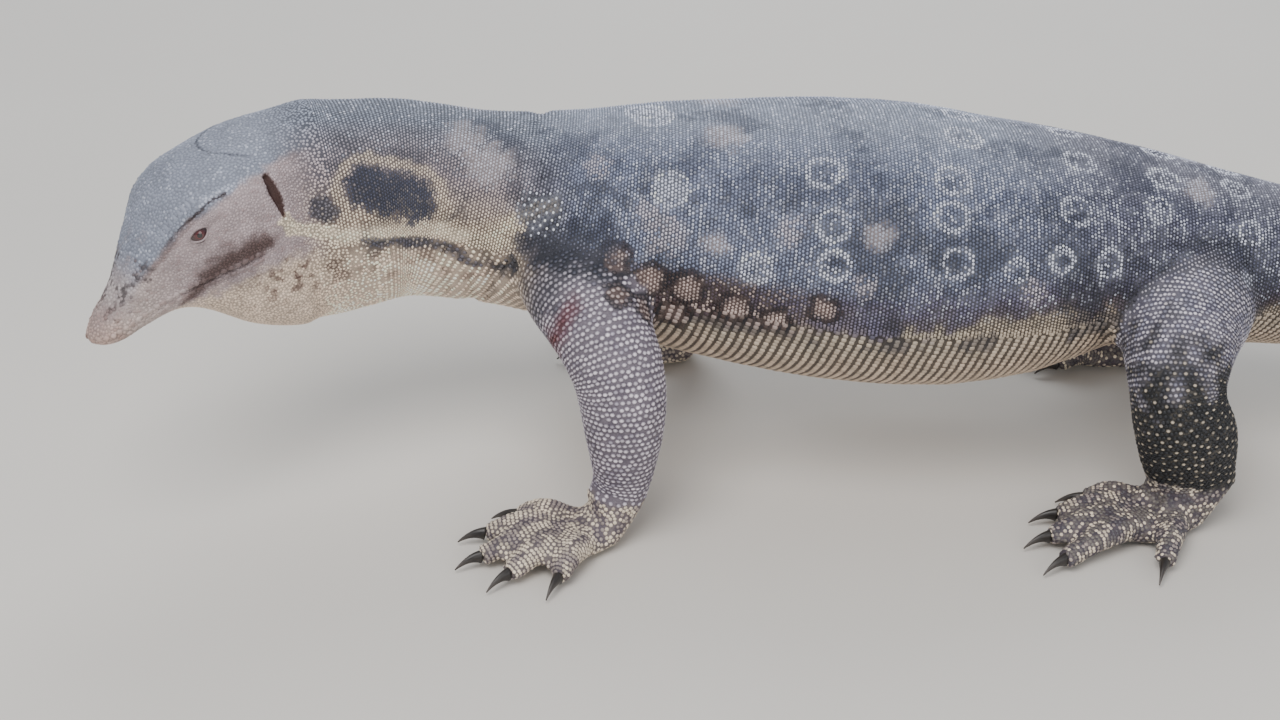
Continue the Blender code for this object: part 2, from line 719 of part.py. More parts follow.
def match_palm(limb, foot, name):
    """The palm, each ring turned so that its points line up with the wrist's."""
    rings = palm_rings(limb, foot)
    matched = rings[:2]
    for ring in rings[2:]:
        last, middle, here = matched[-1], sum_centre(matched[-1]), sum_centre(ring)
        options = [ring[k:] + ring[:k] for k in range(len(ring))]
        options += [option[::-1] for option in options]
        matched.append(min(options, key=lambda option: sum(
            ((a - middle).normalized() - (b - here).normalized()).length_squared
            for a, b in zip(last, option)
        )))
    return loft(name, matched)


def make_claw(name, ground, forward, outward, toe, foot):
    """A curved claw that leaves the toe's tip and bends down to the floor."""
    rings = []
    tip = toe_curve(ground, forward, outward, toe, 1.04)
    way = toe_curve(ground, forward, outward, toe, 1.06) - tip
    way.z = 0
    way.normalize()
    side = way.cross(UP).normalized()
    start = tip + (toe_curve(ground, forward, outward, toe, 1.06) - tip).normalized() * GAP
    for i in range(CLAW_RINGS):
        share = i / (CLAW_RINGS - 1)
        radius = CLAW_ROOT_RADIUS + (CLAW_TIP_RADIUS - CLAW_ROOT_RADIUS) * share**0.85
        pitch = 0.25 - 1.0 * share
        heading = way * math.cos(pitch) + UP * math.sin(pitch)
        up = side.cross(heading)
        height = start.z + foot.claw_length * (0.20 * share - 0.50 * share**2)
        centre = Vector((*(start + way * foot.claw_length * share).xy, max(height, radius)))
        if i == 0:
            centre, heading = start, (toe_curve(ground, forward, outward, toe, 1.06) - tip).normalized()
            up = side.cross(heading)
        rings.append([
            centre + up * radius * 1.15 * math.cos(t) + side * radius * 0.85 * math.sin(t)
            for t in (2 * math.pi * k / CLAW_SIDES for k in range(CLAW_SIDES))
        ])
    return loft(name, rings, "claw")


def floor_block():
    """A block under the floor's level, wide enough to trim any foot flat."""
    mesh = bpy.data.meshes.new("floor_block")
    shape = bmesh.new()
    bmesh.ops.create_cube(shape, size=1)
    placed = Matrix.Translation((0.5, 0, -FLOOR_BLOCK / 2)) @ Matrix.Diagonal((6, 4, FLOOR_BLOCK, 1))
    shape.transform(placed)
    shape.to_mesh(mesh)
    shape.free()
    return object_from("floor_block", mesh)


def trim_tail(pieces):
    """Cuts each length of tail flat where it lies on the floor."""
    for piece in pieces:
        if piece.name.startswith("tail") and min(v.co.z for v in piece.data.vertices) < 0:
            combine(piece, [floor_block()], "DIFFERENCE")


def centre_on_floor():
    """Moves everything so that the origin is under the middle of the model's box."""
    solids = [thing for thing in bpy.data.objects if thing.type == "MESH"]
    corners = np.array([v.co for thing in solids for v in thing.data.vertices])
    low, high = corners.min(axis=0), corners.max(axis=0)
    shift = Vector((-(low[0] + high[0]) / 2, -(low[1] + high[1]) / 2, -low[2]))
    for thing in solids:
        thing.data.transform(Matrix.Translation(shift))


def main():
    clear_scene()
    pieces = make_body()
    trim_tail(pieces)
    make_head()
    for limb in LIMBS:
        for part in LIMB_CUTS:
            make_limb_tube(limb, part)
        make_foot(limb)
    centre_on_floor()


main()
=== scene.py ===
"""Water monitor lizard, standing: skin, beaded scales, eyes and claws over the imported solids.

Metres, +Z up. The animal faces -X, its left side is towards -Y, and it stands on the floor at Z = 0.
"""

import math
from collections import namedtuple
from functools import partial

import bmesh
import bpy
import numpy as np
from mathutils import Matrix, Vector, noise
from mathutils.bvhtree import BVHTree


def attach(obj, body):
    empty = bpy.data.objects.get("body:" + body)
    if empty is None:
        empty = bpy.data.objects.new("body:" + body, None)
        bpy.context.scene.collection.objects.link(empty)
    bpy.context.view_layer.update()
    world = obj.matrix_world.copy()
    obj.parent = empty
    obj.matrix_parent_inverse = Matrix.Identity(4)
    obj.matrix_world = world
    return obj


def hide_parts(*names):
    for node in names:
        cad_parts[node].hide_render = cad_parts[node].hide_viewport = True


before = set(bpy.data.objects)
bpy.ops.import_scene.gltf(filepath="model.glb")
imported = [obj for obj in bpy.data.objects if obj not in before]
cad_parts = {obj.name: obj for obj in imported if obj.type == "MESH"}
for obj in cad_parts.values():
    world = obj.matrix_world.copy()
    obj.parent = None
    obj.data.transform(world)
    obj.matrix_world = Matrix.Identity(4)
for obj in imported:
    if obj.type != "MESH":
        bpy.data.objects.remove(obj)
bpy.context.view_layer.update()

bl_info = {
    "name": "Water Monitor",
    "version": (1, 0, 0),
    "blender": (4, 5, 0),
    "location": "3D View > Sidebar > Monitor",
    "description": "Dresses the solids of a standing water monitor with skin, scales, eyes and claws",
    "category": "Add Mesh",
}

UP = np.array((0.0, 0.0, 1.0))
NOSE = np.array((-1.0, 0.0, 0.0))
# Where the source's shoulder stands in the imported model
PLACE = np.array((-0.709775, 0.007672, 0.0))


# The animal's build: the same named stations, rails and joints as its solids

Station = namedtuple("Station", "x y z wide above below crest keel")
BODY = [
    Station(-0.190, -0.022, 0.232, 0.058, 0.077, 0.097, 2.2, 2.1),
    Station(-0.135, -0.006, 0.236, 0.060, 0.064, 0.095, 2.2, 2.1),
    Station(-0.070, 0.000, 0.223, 0.064, 0.064, 0.088, 2.2, 2.1),
    Station(0.000, 0.000, 0.207, 0.083, 0.082, 0.083, 2.1, 2.1),
    Station(0.110, 0.000, 0.195, 0.110, 0.096, 0.099, 2.1, 2.2),
    Station(0.250, 0.000, 0.184, 0.127, 0.102, 0.107, 2.1, 2.3),
    Station(0.350, 0.000, 0.179, 0.118, 0.090, 0.097, 2.1, 2.3),
    Station(0.440, 0.000, 0.174, 0.092, 0.078, 0.067, 2.0, 2.1),
    Station(0.510, 0.000, 0.166, 0.078, 0.066, 0.067, 2.0, 2.1),
    Station(0.585, 0.002, 0.150, 0.063, 0.061, 0.060, 2.0, 2.0),
    Station(0.680, 0.004, 0.125, 0.050, 0.057, 0.053, 1.9, 2.0),
    Station(0.790, 0.010, 0.078, 0.039, 0.050, 0.046, 1.8, 2.0),
    Station(0.920, 0.030, 0.044, 0.031, 0.044, 0.040, 1.7, 2.0),
    Station(1.110, 0.082, 0.0305, 0.0230, 0.036, 0.0320, 1.6, 2.0),
    Station(1.310, 0.105, 0.0230, 0.0165, 0.028, 0.0245, 1.6, 2.0),
    Station(1.500, 0.050, 0.0160, 0.0115, 0.0205, 0.0175, 1.6, 2.0),
    Station(1.650, -0.040, 0.0104, 0.0075, 0.0135, 0.0115, 1.7, 2.0),
    Station(1.770, -0.125, 0.0044, 0.0030, 0.0055, 0.0050, 2.0, 2.0),
]
SHOULDER_KEY = 0.196
VENT_KEY = 0.784
TAIL_KEYS = (0.784, 1.138, 1.537, 2.0572)

HEAD_LENGTH = 0.190
HEAD_ORIGIN = np.array((-0.217, -0.040, 0.259)) + PLACE
HEAD_PITCH = math.radians(26.5)
HEAD_YAW = math.radians(40)
HEAD_ROLL = math.radians(-1.5)
HEAD_START = -0.17
HEAD_STRAIGHT_FROM = 0.45
NECK_BLEND_TO = 0.12
NECK_RING_LIFT = 0.020
RAIL_STEPS = 3
SNOUT_ROUND_FROM = 0.86
SNOUT_TIP_Z = 0.003
RAIL_SHARES = (-0.17, 0.00, 0.20, 0.46, 0.60, 0.80, 0.93, 1.00)
# Rails along the head at those shares of its length: half widths, then heights
HEAD_RAILS = {
    "crown": ((0,) * 8, (0.053, 0.057, 0.064, 0.062, 0.047, 0.023, 0.0135, 0.010)),
    "brow": ((0.046, 0.047, 0.0495, 0.0420, 0.031, 0.018, 0.013, 0.0115),
             (0.040, 0.042, 0.048, 0.0500, 0.0375, 0.017, 0.0105, 0.008)),
    "cheek": ((0.058, 0.059, 0.057, 0.0450, 0.033, 0.022, 0.0195, 0.018),
              (0.002, 0.006, 0.008, 0.010, 0.008, 0.006, 0.005, 0.003)),
    "lip": ((0.058, 0.055, 0.051, 0.041, 0.0320, 0.0232, 0.020, 0.018),
            (-0.032, -0.020, -0.012, -0.006, -0.003, -0.001, 0.0, 0.0)),
    "jaw": ((0.047, 0.047, 0.045, 0.034, 0.0235, 0.0158, 0.013, 0.012),
            (-0.080, -0.084, -0.082, -0.060, -0.0240, -0.0115, -0.009, -0.008)),
    "chin": ((0,) * 8, (-0.112, -0.108, -0.107, -0.076, -0.036, -0.0155, -0.012, -0.0105)),
}
EYE_SHARE = 0.455
EYE_HEIGHT = 0.0352
EYE_INSET = 0.0090
EYE_RADIUS = 0.0088

LimbPoint = namedtuple("LimbPoint", "x out z across deep")
FORELEG = [
    LimbPoint(-0.004, 0.030, 0.190, 0.040, 0.046),
    LimbPoint(0.003, 0.074, 0.181, 0.040, 0.045),
    LimbPoint(0.020, 0.113, 0.166, 0.036, 0.040),
    LimbPoint(0.034, 0.140, 0.136, 0.031, 0.035),
    LimbPoint(0.037, 0.145, 0.094, 0.0270, 0.030),
    LimbPoint(0.036, 0.143, 0.052, 0.0210, 0.0230),
    LimbPoint(0.026, 0.146, 0.024, 0.0185, 0.0205),
]
HINDLEG = [
    LimbPoint(0.486, 0.020, 0.164, 0.046, 0.046),
    LimbPoint(0.472, 0.068, 0.158, 0.047, 0.050),
    LimbPoint(0.456, 0.108, 0.147, 0.044, 0.045),
    LimbPoint(0.450, 0.136, 0.118, 0.036, 0.036),
    LimbPoint(0.461, 0.137, 0.084, 0.0310, 0.038),
    LimbPoint(0.471, 0.129, 0.050, 0.0260, 0.0350),
    LimbPoint(0.477, 0.127, 0.025, 0.0220, 0.0280),
]
WRIST = 5.15
Toe = namedtuple("Toe", "heading length along across")
Foot = namedtuple("Foot", "toe_thick claw_length toes")
HAND = Foot(
    0.0115, 0.021,
    [
        Toe(34, 0.036, 0.030, -0.020), Toe(15, 0.050, 0.042, -0.012), Toe(-3, 0.056, 0.046, 0.000),
        Toe(-22, 0.052, 0.042, 0.012), Toe(-46, 0.040, 0.030, 0.020),
    ],
)
SOLE = Foot(
    0.0118, 0.021,
    [
        Toe(30, 0.036, 0.040, -0.020), Toe(14, 0.052, 0.052, -0.012), Toe(0, 0.066, 0.056, 0.000),
        Toe(-14, 0.076, 0.052, 0.012), Toe(-50, 0.048, 0.028, 0.021),
    ],
)
FEET = {"fore": HAND, "hind": SOLE}
Limb = namedtuple("Limb", "name side kind step_x step_out toe_out")
LIMBS = [
    Limb("foreleg_left", -1, "fore", 0.0, 0.0, math.radians(20)),
    Limb("foreleg_right", 1, "fore", 0.070, -0.008, math.radians(12)),
    Limb("hindleg_left", -1, "hind", 0.0, 0.0, math.radians(18)),
    Limb("hindleg_right", 1, "hind", 0.022, -0.004, math.radians(14)),
]
FLESH = ["head", "neck", "torso", "tail_root", "tail_middle", "tail_end"]
FLESH += [f"{limb.name}_{part}" for limb in LIMBS for part in ("upper", "lower")]
FLESH += ["forefoot_left", "forefoot_right", "hindfoot_left", "hindfoot_right"]


# Small helpers

def rgb(text):
    """A colour written as sRGB hex, as the linear values that shaders use."""
    seen = np.array([int(text[i:i + 2], 16) / 255 for i in (1, 3, 5)])
    return np.where(seen <= 0.04045, seen / 12.92, ((seen + 0.055) / 1.055) ** 2.4)


def unit(vectors):
    vectors = np.asarray(vectors, float)
    length = np.linalg.norm(vectors, axis=-1, keepdims=True)
    return vectors / np.maximum(length, 1e-12)


def ease(low, high, at):
    """0 below low, 1 above high, and smooth between them."""
    t = np.clip((np.asarray(at, float) - low) / (high - low), 0.0, 1.0)
    return t * t * (3 - 2 * t)


def smooth_curve(keys, values, at):
    """Values at places between keys, on a smooth curve through them."""
    keys, values = np.asarray(keys, float), np.asarray(values, float)
    at = np.atleast_1d(np.asarray(at, float))
    slopes = np.gradient(values, keys, axis=0)
    i = np.clip(np.searchsorted(keys, at) - 1, 0, len(keys) - 2)
    span = keys[i + 1] - keys[i]
    t = (at - keys[i]) / span
    if values.ndim > 1:
        t, span = t[:, None], span[:, None]
    start, end = 2 * t**3 - 3 * t**2 + 1, 3 * t**2 - 2 * t**3
    leave, arrive = t**3 - 2 * t**2 + t, t**3 - t**2
    return start * values[i] + end * values[i + 1] + span * (leave * slopes[i] + arrive * slopes[i + 1])


def power_of(value, power):
    return np.copysign(np.abs(value) ** power, value)


def distances(line):
    """How far along a line of points each of them is."""
    return np.concatenate([[0], np.cumsum(np.linalg.norm(np.diff(line, axis=0), axis=1))])


def between(at, steps, rows):
    """Rows of values at places between the steps where they are given."""
    return np.stack([np.interp(at, steps, column) for column in np.asarray(rows).T], axis=-1)


def new_object(name, mesh):
    made = bpy.data.objects.new(name, mesh)
    bpy.context.scene.collection.objects.link(made)
    return made


def mesh_from(name, points, faces, smooth=True):
    mesh = bpy.data.meshes.new(name)
    mesh.from_pydata([tuple(p) for p in points], [], [tuple(f) for f in faces])
    mesh.update()
    if smooth:
        mesh.shade_smooth()
    return mesh


def evaluated_mesh(thing):
    bpy.context.view_layer.update()
    graph = bpy.context.evaluated_depsgraph_get()
    return bpy.data.meshes.new_from_object(thing.evaluated_get(graph))


def remove_object(thing):
    mesh = thing.data
    bpy.data.objects.remove(thing)
    bpy.data.meshes.remove(mesh)


def read_vectors(items, name):
    values = np.empty(len(items) * 3, np.float32)
    items.foreach_get(name, values)
    return values.reshape(-1, 3).astype(float)


def read_points(mesh):
    return read_vectors(mesh.vertices, "co")


def read_normals(mesh):
    return read_vectors(mesh.vertex_normals, "vector")


def write_points(mesh, points):
    mesh.vertices.foreach_set("co", points.astype(np.float32).ravel())
    mesh.update()


def write_attribute(mesh, name, kind, values):
    """Stores one value for each vertex: a number, a vector or a colour."""
    values = np.asarray(values, np.float32)
    if kind == "FLOAT_COLOR":
        values = np.concatenate([values, np.ones((len(values), 1), np.float32)], axis=1)
    part = {"FLOAT_COLOR": "color", "FLOAT_VECTOR": "vector", "FLOAT": "value"}[kind]
    mesh.attributes.new(name, kind, "POINT").data.foreach_set(part, values.ravel())


def loft_faces(rings, sides, closed=False):
    """Faces between rings of points that follow each other in one list, with both ends capped."""
    faces = []
    for row in range(rings if closed else rings - 1):
        near, far = row * sides, (row + 1) % rings * sides
        for i in range(sides):
            j = (i + 1) % sides
            faces.append((near + i, near + j, far + j, far + i))
    if not closed:
        faces.append(tuple(range(sides))[::-1])
        faces.append(tuple((rings - 1) * sides + i for i in range(sides)))
    return faces


def outward_mesh(name, points, faces):
    """A smooth mesh whose faces all point outwards."""
    mesh = mesh_from(name, points, faces)
    shape = bmesh.new()
    shape.from_mesh(mesh)
    bmesh.ops.recalc_face_normals(shape, faces=shape.faces)
    shape.to_mesh(mesh)
    shape.free()
    mesh.shade_smooth()
    return mesh


# Tubes: the lengths of body, limb, palm and toe that the skin and the rows of scales follow

class Tube:
    """A line of centres with its axes and half sizes at each, measured by distance along it."""

    def __init__(self, name, centres, sizes, up_hint, keys=None):
        self.name = name
        self.centres = centres
        self.keys = distances(centres) if keys is None else keys
        self.ahead = unit(np.gradient(centres, self.keys, axis=0))
        hint = np.broadcast_to(up_hint, centres.shape)
        if name == "body":
            self.left = unit(np.cross(self.ahead, hint))
            self.up = np.cross(self.left, self.ahead)
        else:
            self.up = unit(hint - self.ahead * (hint * self.ahead).sum(1)[:, None])
            self.left = np.cross(self.ahead, self.up)
        self.sizes = sizes

    def at(self, key, table):
        return between(key, self.keys, table)

    def reach(self, key, angle):
        """How far the surface is to the left and up at a place along the tube and an angle round it."""
        wide, above, below, crest, keel = np.moveaxis(self.at(key, self.sizes), -1, 0)
        side, rise = np.sin(angle), np.cos(angle)
        power = 2 / np.where(rise > 0, crest, keel)
        return power_of(side, power) * wide, power_of(rise, power) * np.where(rise > 0, above, below)

    def place(self, key, angle):
        """The point on the surface at a distance along the tube and an angle round it."""
        across, rise = self.reach(key, angle)
        centre, left, up = (self.at(key, t) for t in (self.centres, self.left, self.up))
        return centre + left * across[..., None] + up * rise[..., None]

    def find(self, points):
        """For each point: distance along the tube, angle round it, and how far out it lies as a share
        of the surface's distance."""
        nearest = np.empty(len(points), int)
        for first in range(0, len(points), 8000):
            some = points[first:first + 8000]
            square = (self.centres**2).sum(1) - 2 * some @ self.centres.T
            nearest[first:first + 8000] = square.argmin(1)
        offset = points - self.centres[nearest]
        along = (offset * self.ahead[nearest]).sum(1)
        across = (offset * self.left[nearest]).sum(1)
        rise = (offset * self.up[nearest]).sum(1)
        key = self.keys[nearest]
        past = np.abs(along) * ((nearest == 0) | (nearest == len(self.keys) - 1))
        wide, above, below = self.sizes[nearest, :3].T
        high = np.where(rise > 0, above, below)
        angle = np.arctan2(across / wide, rise / high)
        out_to = np.hypot(*self.reach(key, angle))
        return key, angle, (np.hypot(across, rise) + past) / np.maximum(out_to, 1e-6)


def body_tube():
    places = np.array([(s.x, s.y, s.z) for s in BODY]) + PLACE
    keys = distances(places)
    fine = np.linspace(0, keys[-1], 900)
    sizes = smooth_curve(keys, [s[3:] for s in BODY], fine)
    return Tube("body", smooth_curve(keys, places, fine), sizes, UP, fine)


def oval_sizes(wide, high):
    """Half sizes of a tube whose sections are ellipses."""
    return np.stack([wide, high, high, np.full(len(wide), 2.0), np.full(len(wide), 2.0)], axis=1)


def limb_joints(limb):
    """The limb's points in space, with its root in place and its foot moved by its step."""
    points = FORELEG if limb.kind == "fore" else HINDLEG
    moved = ease(1, len(points) - 2, np.arange(len(points)))
    x = np.array([p.x for p in points]) + limb.step_x * moved
    y = limb.side * (np.array([p.out for p in points]) + limb.step_out * moved)
    return np.stack([x, y, [p.z for p in points]], axis=1) + PLACE, [(p.across, p.deep) for p in points]


def limb_tube(limb):
    joints, halves = limb_joints(limb)
    counts = np.arange(len(joints))
    fine = np.linspace(0, WRIST + 0.25, 130)
    centres = smooth_curve(counts, joints, fine)
    across, deep = smooth_curve(counts, halves, fine).T
    tube = Tube(limb.name, centres, oval_sizes(across, deep), NOSE)
    tube.joint_counts = fine
    return tube


def foot_frame(limb):
    joints, _ = limb_joints(limb)
    forward = np.array((-math.cos(limb.toe_out), limb.side * math.sin(limb.toe_out), 0))
    outward = np.array((math.sin(limb.toe_out), limb.side * math.cos(limb.toe_out), 0))
    return joints[-1] * (1, 1, 0), forward, outward


def toe_curve(limb, toe, share):
    """The middle of a toe at shares of its length: up over the knuckle and down to the tip."""
    ground, forward, outward = foot_frame(limb)
    turn = math.radians(-toe.heading)
    way = forward * math.cos(turn) + outward * math.sin(turn)
    root = ground + forward * toe.along + outward * toe.across
    share = np.atleast_1d(share)
    rise = smooth_curve([-0.35, 0, 0.45, 1.0], [0.010, 0.0135, 0.0175, 0.0100], share)
    return root + way * toe.length * share[:, None] + UP * rise[:, None]


def toe_tube(limb, number, toe, foot):
    share = np.linspace(-0.2, 1.04, 26)
    swell = 1.0 - 0.22 * ease(0, 1, share) + 0.10 * np.exp(-((share - 0.45) / 0.16) ** 2)
    radius = foot.toe_thick * swell * np.where(share > 1, 0.7, 1.0)
    return Tube(f"{limb.name}_toe_{number}", toe_curve(limb, toe, share), oval_sizes(radius, radius), UP)


BODY_TUBE = body_tube()
LIMB_TUBES = {limb.name: limb_tube(limb) for limb in LIMBS}
TOE_TUBES = {
    (limb.name, number): toe_tube(limb, number, toe, FEET[limb.kind])
    for limb in LIMBS
    for number, toe in enumerate(FEET[limb.kind].toes, 1)
}


# The head's shape

def head_axes():
    """The head's forward, left and up directions, forward of where it is straight."""
    forward = np.array((
        -math.cos(HEAD_PITCH) * math.cos(HEAD_YAW),
        -math.cos(HEAD_PITCH) * math.sin(HEAD_YAW),
        -math.sin(HEAD_PITCH),
    ))
    level = unit(np.cross(UP, forward))
    left = level * math.cos(HEAD_ROLL) - np.cross(forward, level) * math.sin(HEAD_ROLL)
    return forward, left, np.cross(forward, left)


def turn_of(forward, left, up):
    from_rows = np.array((forward, left, up)).T
    return Matrix(from_rows.tolist()).to_quaternion()


def head_frame(share):
    """The head's centre at a share of its length and its axes, bending from the neck's."""
    forward, left, up = head_axes()
    tailward, neck_left, neck_up = BODY_TUBE.ahead[0], BODY_TUBE.left[0], BODY_TUBE.up[0]
    start = BODY_TUBE.centres[0] - tailward * 0.0003 + neck_up * NECK_RING_LIFT
    if share >= HEAD_STRAIGHT_FROM:
        return HEAD_ORIGIN + forward * share * HEAD_LENGTH, forward, left, up
    end = HEAD_ORIGIN + forward * HEAD_STRAIGHT_FROM * HEAD_LENGTH
    t = (share - HEAD_START) / (HEAD_STRAIGHT_FROM - HEAD_START)
    reach = np.linalg.norm(end - start)
    centre = (
        start * (2 * t**3 - 3 * t**2 + 1) + end * (3 * t**2 - 2 * t**3)
        - tailward * reach * (t**3 - 2 * t**2 + t) + forward * reach * (t**3 - t**2)
    )
    turned = turn_of(-tailward, neck_left, neck_up).slerp(turn_of(forward, left, up), float(ease(0, 1, t)))
    axes = np.array(turned.to_matrix()).T
    return centre, axes[0], axes[1], axes[2]


def rail_at(name, share):
    wide, high = HEAD_RAILS[name]
    return (float(smooth_curve(RAIL_SHARES, wide, share)[0]), float(smooth_curve(RAIL_SHARES, high, share)[0]))


def snout_taper(share):
    """How far the section has shrunk towards the rounded tip of the snout."""
    t = max((share - SNOUT_ROUND_FROM) / (1 - SNOUT_ROUND_FROM), 0)
    return math.sqrt(max(1 - t**2.2, 0.0016))


def head_section(share):
    """The head's outline at a share of its length, from the crown down its left side and round."""
    corners = [rail_at(name, share) for name in HEAD_RAILS]
    loop = np.array(corners + [(-wide, high) for wide, high in corners[-2:0:-1]])
    points = []
    for i in range(len(loop)):
        before, here, after, next_one = (loop[(i + k) % len(loop)] for k in (-1, 0, 1, 2))
        for t in np.arange(RAIL_STEPS) / RAIL_STEPS:
            points.append(0.5 * (
                2 * here + (after - before) * t
                + (2 * before - 5 * here + 4 * after - next_one) * t**2
                + (3 * here - before - 3 * after + next_one) * t**3
            ))
    taper = snout_taper(share)
    own = np.array(points)
    own = np.stack([own[:, 0] * taper, SNOUT_TIP_Z + (own[:, 1] - SNOUT_TIP_Z) * taper], axis=1)
    turns = 2 * math.pi * np.arange(len(own)) / len(own)
    neck = np.stack(BODY_TUBE.reach(np.zeros(len(own)), turns), axis=1) - (0, NECK_RING_LIFT)
    kept = 1 - float(ease(HEAD_START, NECK_BLEND_TO, share))
    return own * (1 - kept) + neck * kept


HEAD_SHARES = np.linspace(HEAD_START, 1.0, 118)
HEAD_CENTRES, HEAD_AHEAD, HEAD_LEFT, HEAD_UP = (
    np.array(part) for part in zip(*(head_frame(share) for share in HEAD_SHARES))
)


def head_point(share, wide, high):
    """A place on or in the head, wide to its left and high above the level of the mouth."""
    centre, _, left, up = head_frame(share)
    return centre + left * wide + up * high


def surface_width(share, high):
    """How wide the head is at a height above its axis, on its left side."""
    section = head_section(share)[: 5 * RAIL_STEPS + 1]
    return float(np.interp(high, section[::-1, 1], section[::-1, 0]))


def side_point(share, high, side=1):
    """A place on the head's side, at a height; side is 1 on the left and -1 on the right."""
    return head_point(share, surface_width(share, high) * side, high)


def head_find(points):
    """For each point: share of the head's length, width to the left and height."""
    level = np.abs(points @ HEAD_AHEAD.T - (HEAD_CENTRES * HEAD_AHEAD).sum(1))
    level += 10 * (np.linalg.norm(points[:, None] - HEAD_CENTRES[None], axis=2) > 0.15)
    nearest = level.argmin(1)
    offset = points - HEAD_CENTRES[nearest]
    past = (offset * HEAD_AHEAD[nearest]).sum(1) / HEAD_LENGTH
    share = HEAD_SHARES[nearest] + past * (HEAD_SHARES[nearest] > HEAD_STRAIGHT_FROM)
    return share, (offset * HEAD_LEFT[nearest]).sum(1), (offset * HEAD_UP[nearest]).sum(1)


def eye_place(side):
    """The eyeball's centre and the direction it looks in, for side 1 (left) or -1."""
    forward, left, up = head_axes()
    wide = surface_width(EYE_SHARE, EYE_HEIGHT) - EYE_INSET
    centre = head_point(EYE_SHARE, side * wide, EYE_HEIGHT)
    return centre, unit(left * side + forward * 0.24 + up * 0.20)


# Settings

def colour_setting(label, text, hex_colour):
    return bpy.props.FloatVectorProperty(
        name=label, description=text, subtype="COLOR", size=3, min=0, max=1, default=tuple(rgb(hex_colour))
    )


def length_setting(label, text, default):
    return bpy.props.FloatProperty(
        name=label, description=text, default=default, min=0.00001, unit="LENGTH", precision=5
    )


class MonitorSizes(bpy.types.PropertyGroup):
    voxel: length_setting("Skin Cell", "Size of the skin's faces", 0.0057)
    coat_depth: length_setting("Coat Depth", "How far the skin lies under the tops of the scales", 0.0008)
    back_pitch: length_setting("Back Pitch", "From one scale to the next on back and flank", 0.0028)
    belly_row: length_setting("Belly Row", "From one row of belly plates to the next", 0.0066)
    belly_pitch: length_setting("Belly Pitch", "From one belly plate to the next in its row", 0.0039)
    leg_pitch: length_setting("Leg Pitch", "From one scale to the next on the legs", 0.0047)
    tail_pitch: length_setting("Tail Pitch", "From one scale to the next on the tail", 0.0041)
    foot_pitch: length_setting("Foot Pitch", "From one scale to the next on feet and toes", 0.0036)
    head_pitch: length_setting("Head Pitch", "From one scale to the next on the crown", 0.0026)
    bead_height: length_setting("Bead Height", "How high a body scale stands", 0.0009)
    patch: length_setting("Bake Patch", "Width of one scale's patch on the bake's map", 0.003)
    seed: bpy.props.IntProperty(name="Seed", description="Fixes every random choice", default=7)


class MonitorColours(bpy.types.PropertyGroup):
    # The back's tips and net are paler than the flank's: partly dust, partly a painted sheen of the light from
    # above on the upward-facing scales.
    back: colour_setting("Back, Dust and Painted Sheen", "Tops of the scales along the back", "#9aa1b3")
    back_net: colour_setting("Back Net", "Skin between the scales of the back", "#6d7382")
    flank: colour_setting("Flank", "Tops of the flank's scales", "#8f97b2")
    flank_net: colour_setting("Flank Net", "Skin between the flank's scales", "#282d40")
    low: colour_setting("Low Flank", "Scales low on the flank", "#7f7580")
    low_net: colour_setting("Low Net", "Skin low on the flank", "#2a252e")
    cream: colour_setting("Cream", "Pale scales of the belly, throat and neck", "#dccdb7")
    bar: colour_setting("Bar", "Dark bars of the belly", "#40352f")
    ocellus: colour_setting("Ocellus", "Scales in the pale rings", "#dde0f0")
    brown: colour_setting("Brown", "Brownish discs behind the shoulder", "#a8968f")
    black: colour_setting("Black", "Black patches on the neck and legs", "#343642")
    crown: colour_setting("Crown", "Top of the head", "#8d92a1")
    face: colour_setting("Face", "Sides of the head", "#b6a6a8")
    temple: colour_setting("Temple", "Brown patch behind the mouth", "#4c332f")
    throat: colour_setting("Throat", "Throat and underside of the neck", "#e6d0bc")
    leg: colour_setting("Leg Dots", "Pale tips of the legs' scales", "#ded5de")
    leg_plain: colour_setting("Leg Scales", "Scales between the legs' pale dots", "#aaa3b0")
    leg_net: colour_setting("Leg Net", "Skin between the legs' scales", "#564c59")
    shank_net: colour_setting("Shank Net", "Nearly black skin of the hind shanks", "#1e1f23")
    iris: colour_setting("Iris", "Dark red-brown of the eye", "#3f1517")
    horn: colour_setting("Horn", "Dark horn of the claws", "#2c2826")
    floor: colour_setting("Floor", "Plain pale floor", "#d9d4cd")


def sizes():
    return bpy.context.scene.monitor_sizes


def colour(name):
    return np.array(getattr(bpy.context.scene.monitor_colours, name)[:])


# Markings: places on the left side, mirrored to the right with small seeded changes. A place of two numbers
# is a distance along the body's tube and an angle in degrees from the back. A place of three is a share of
# the head's length, a half width and a height.

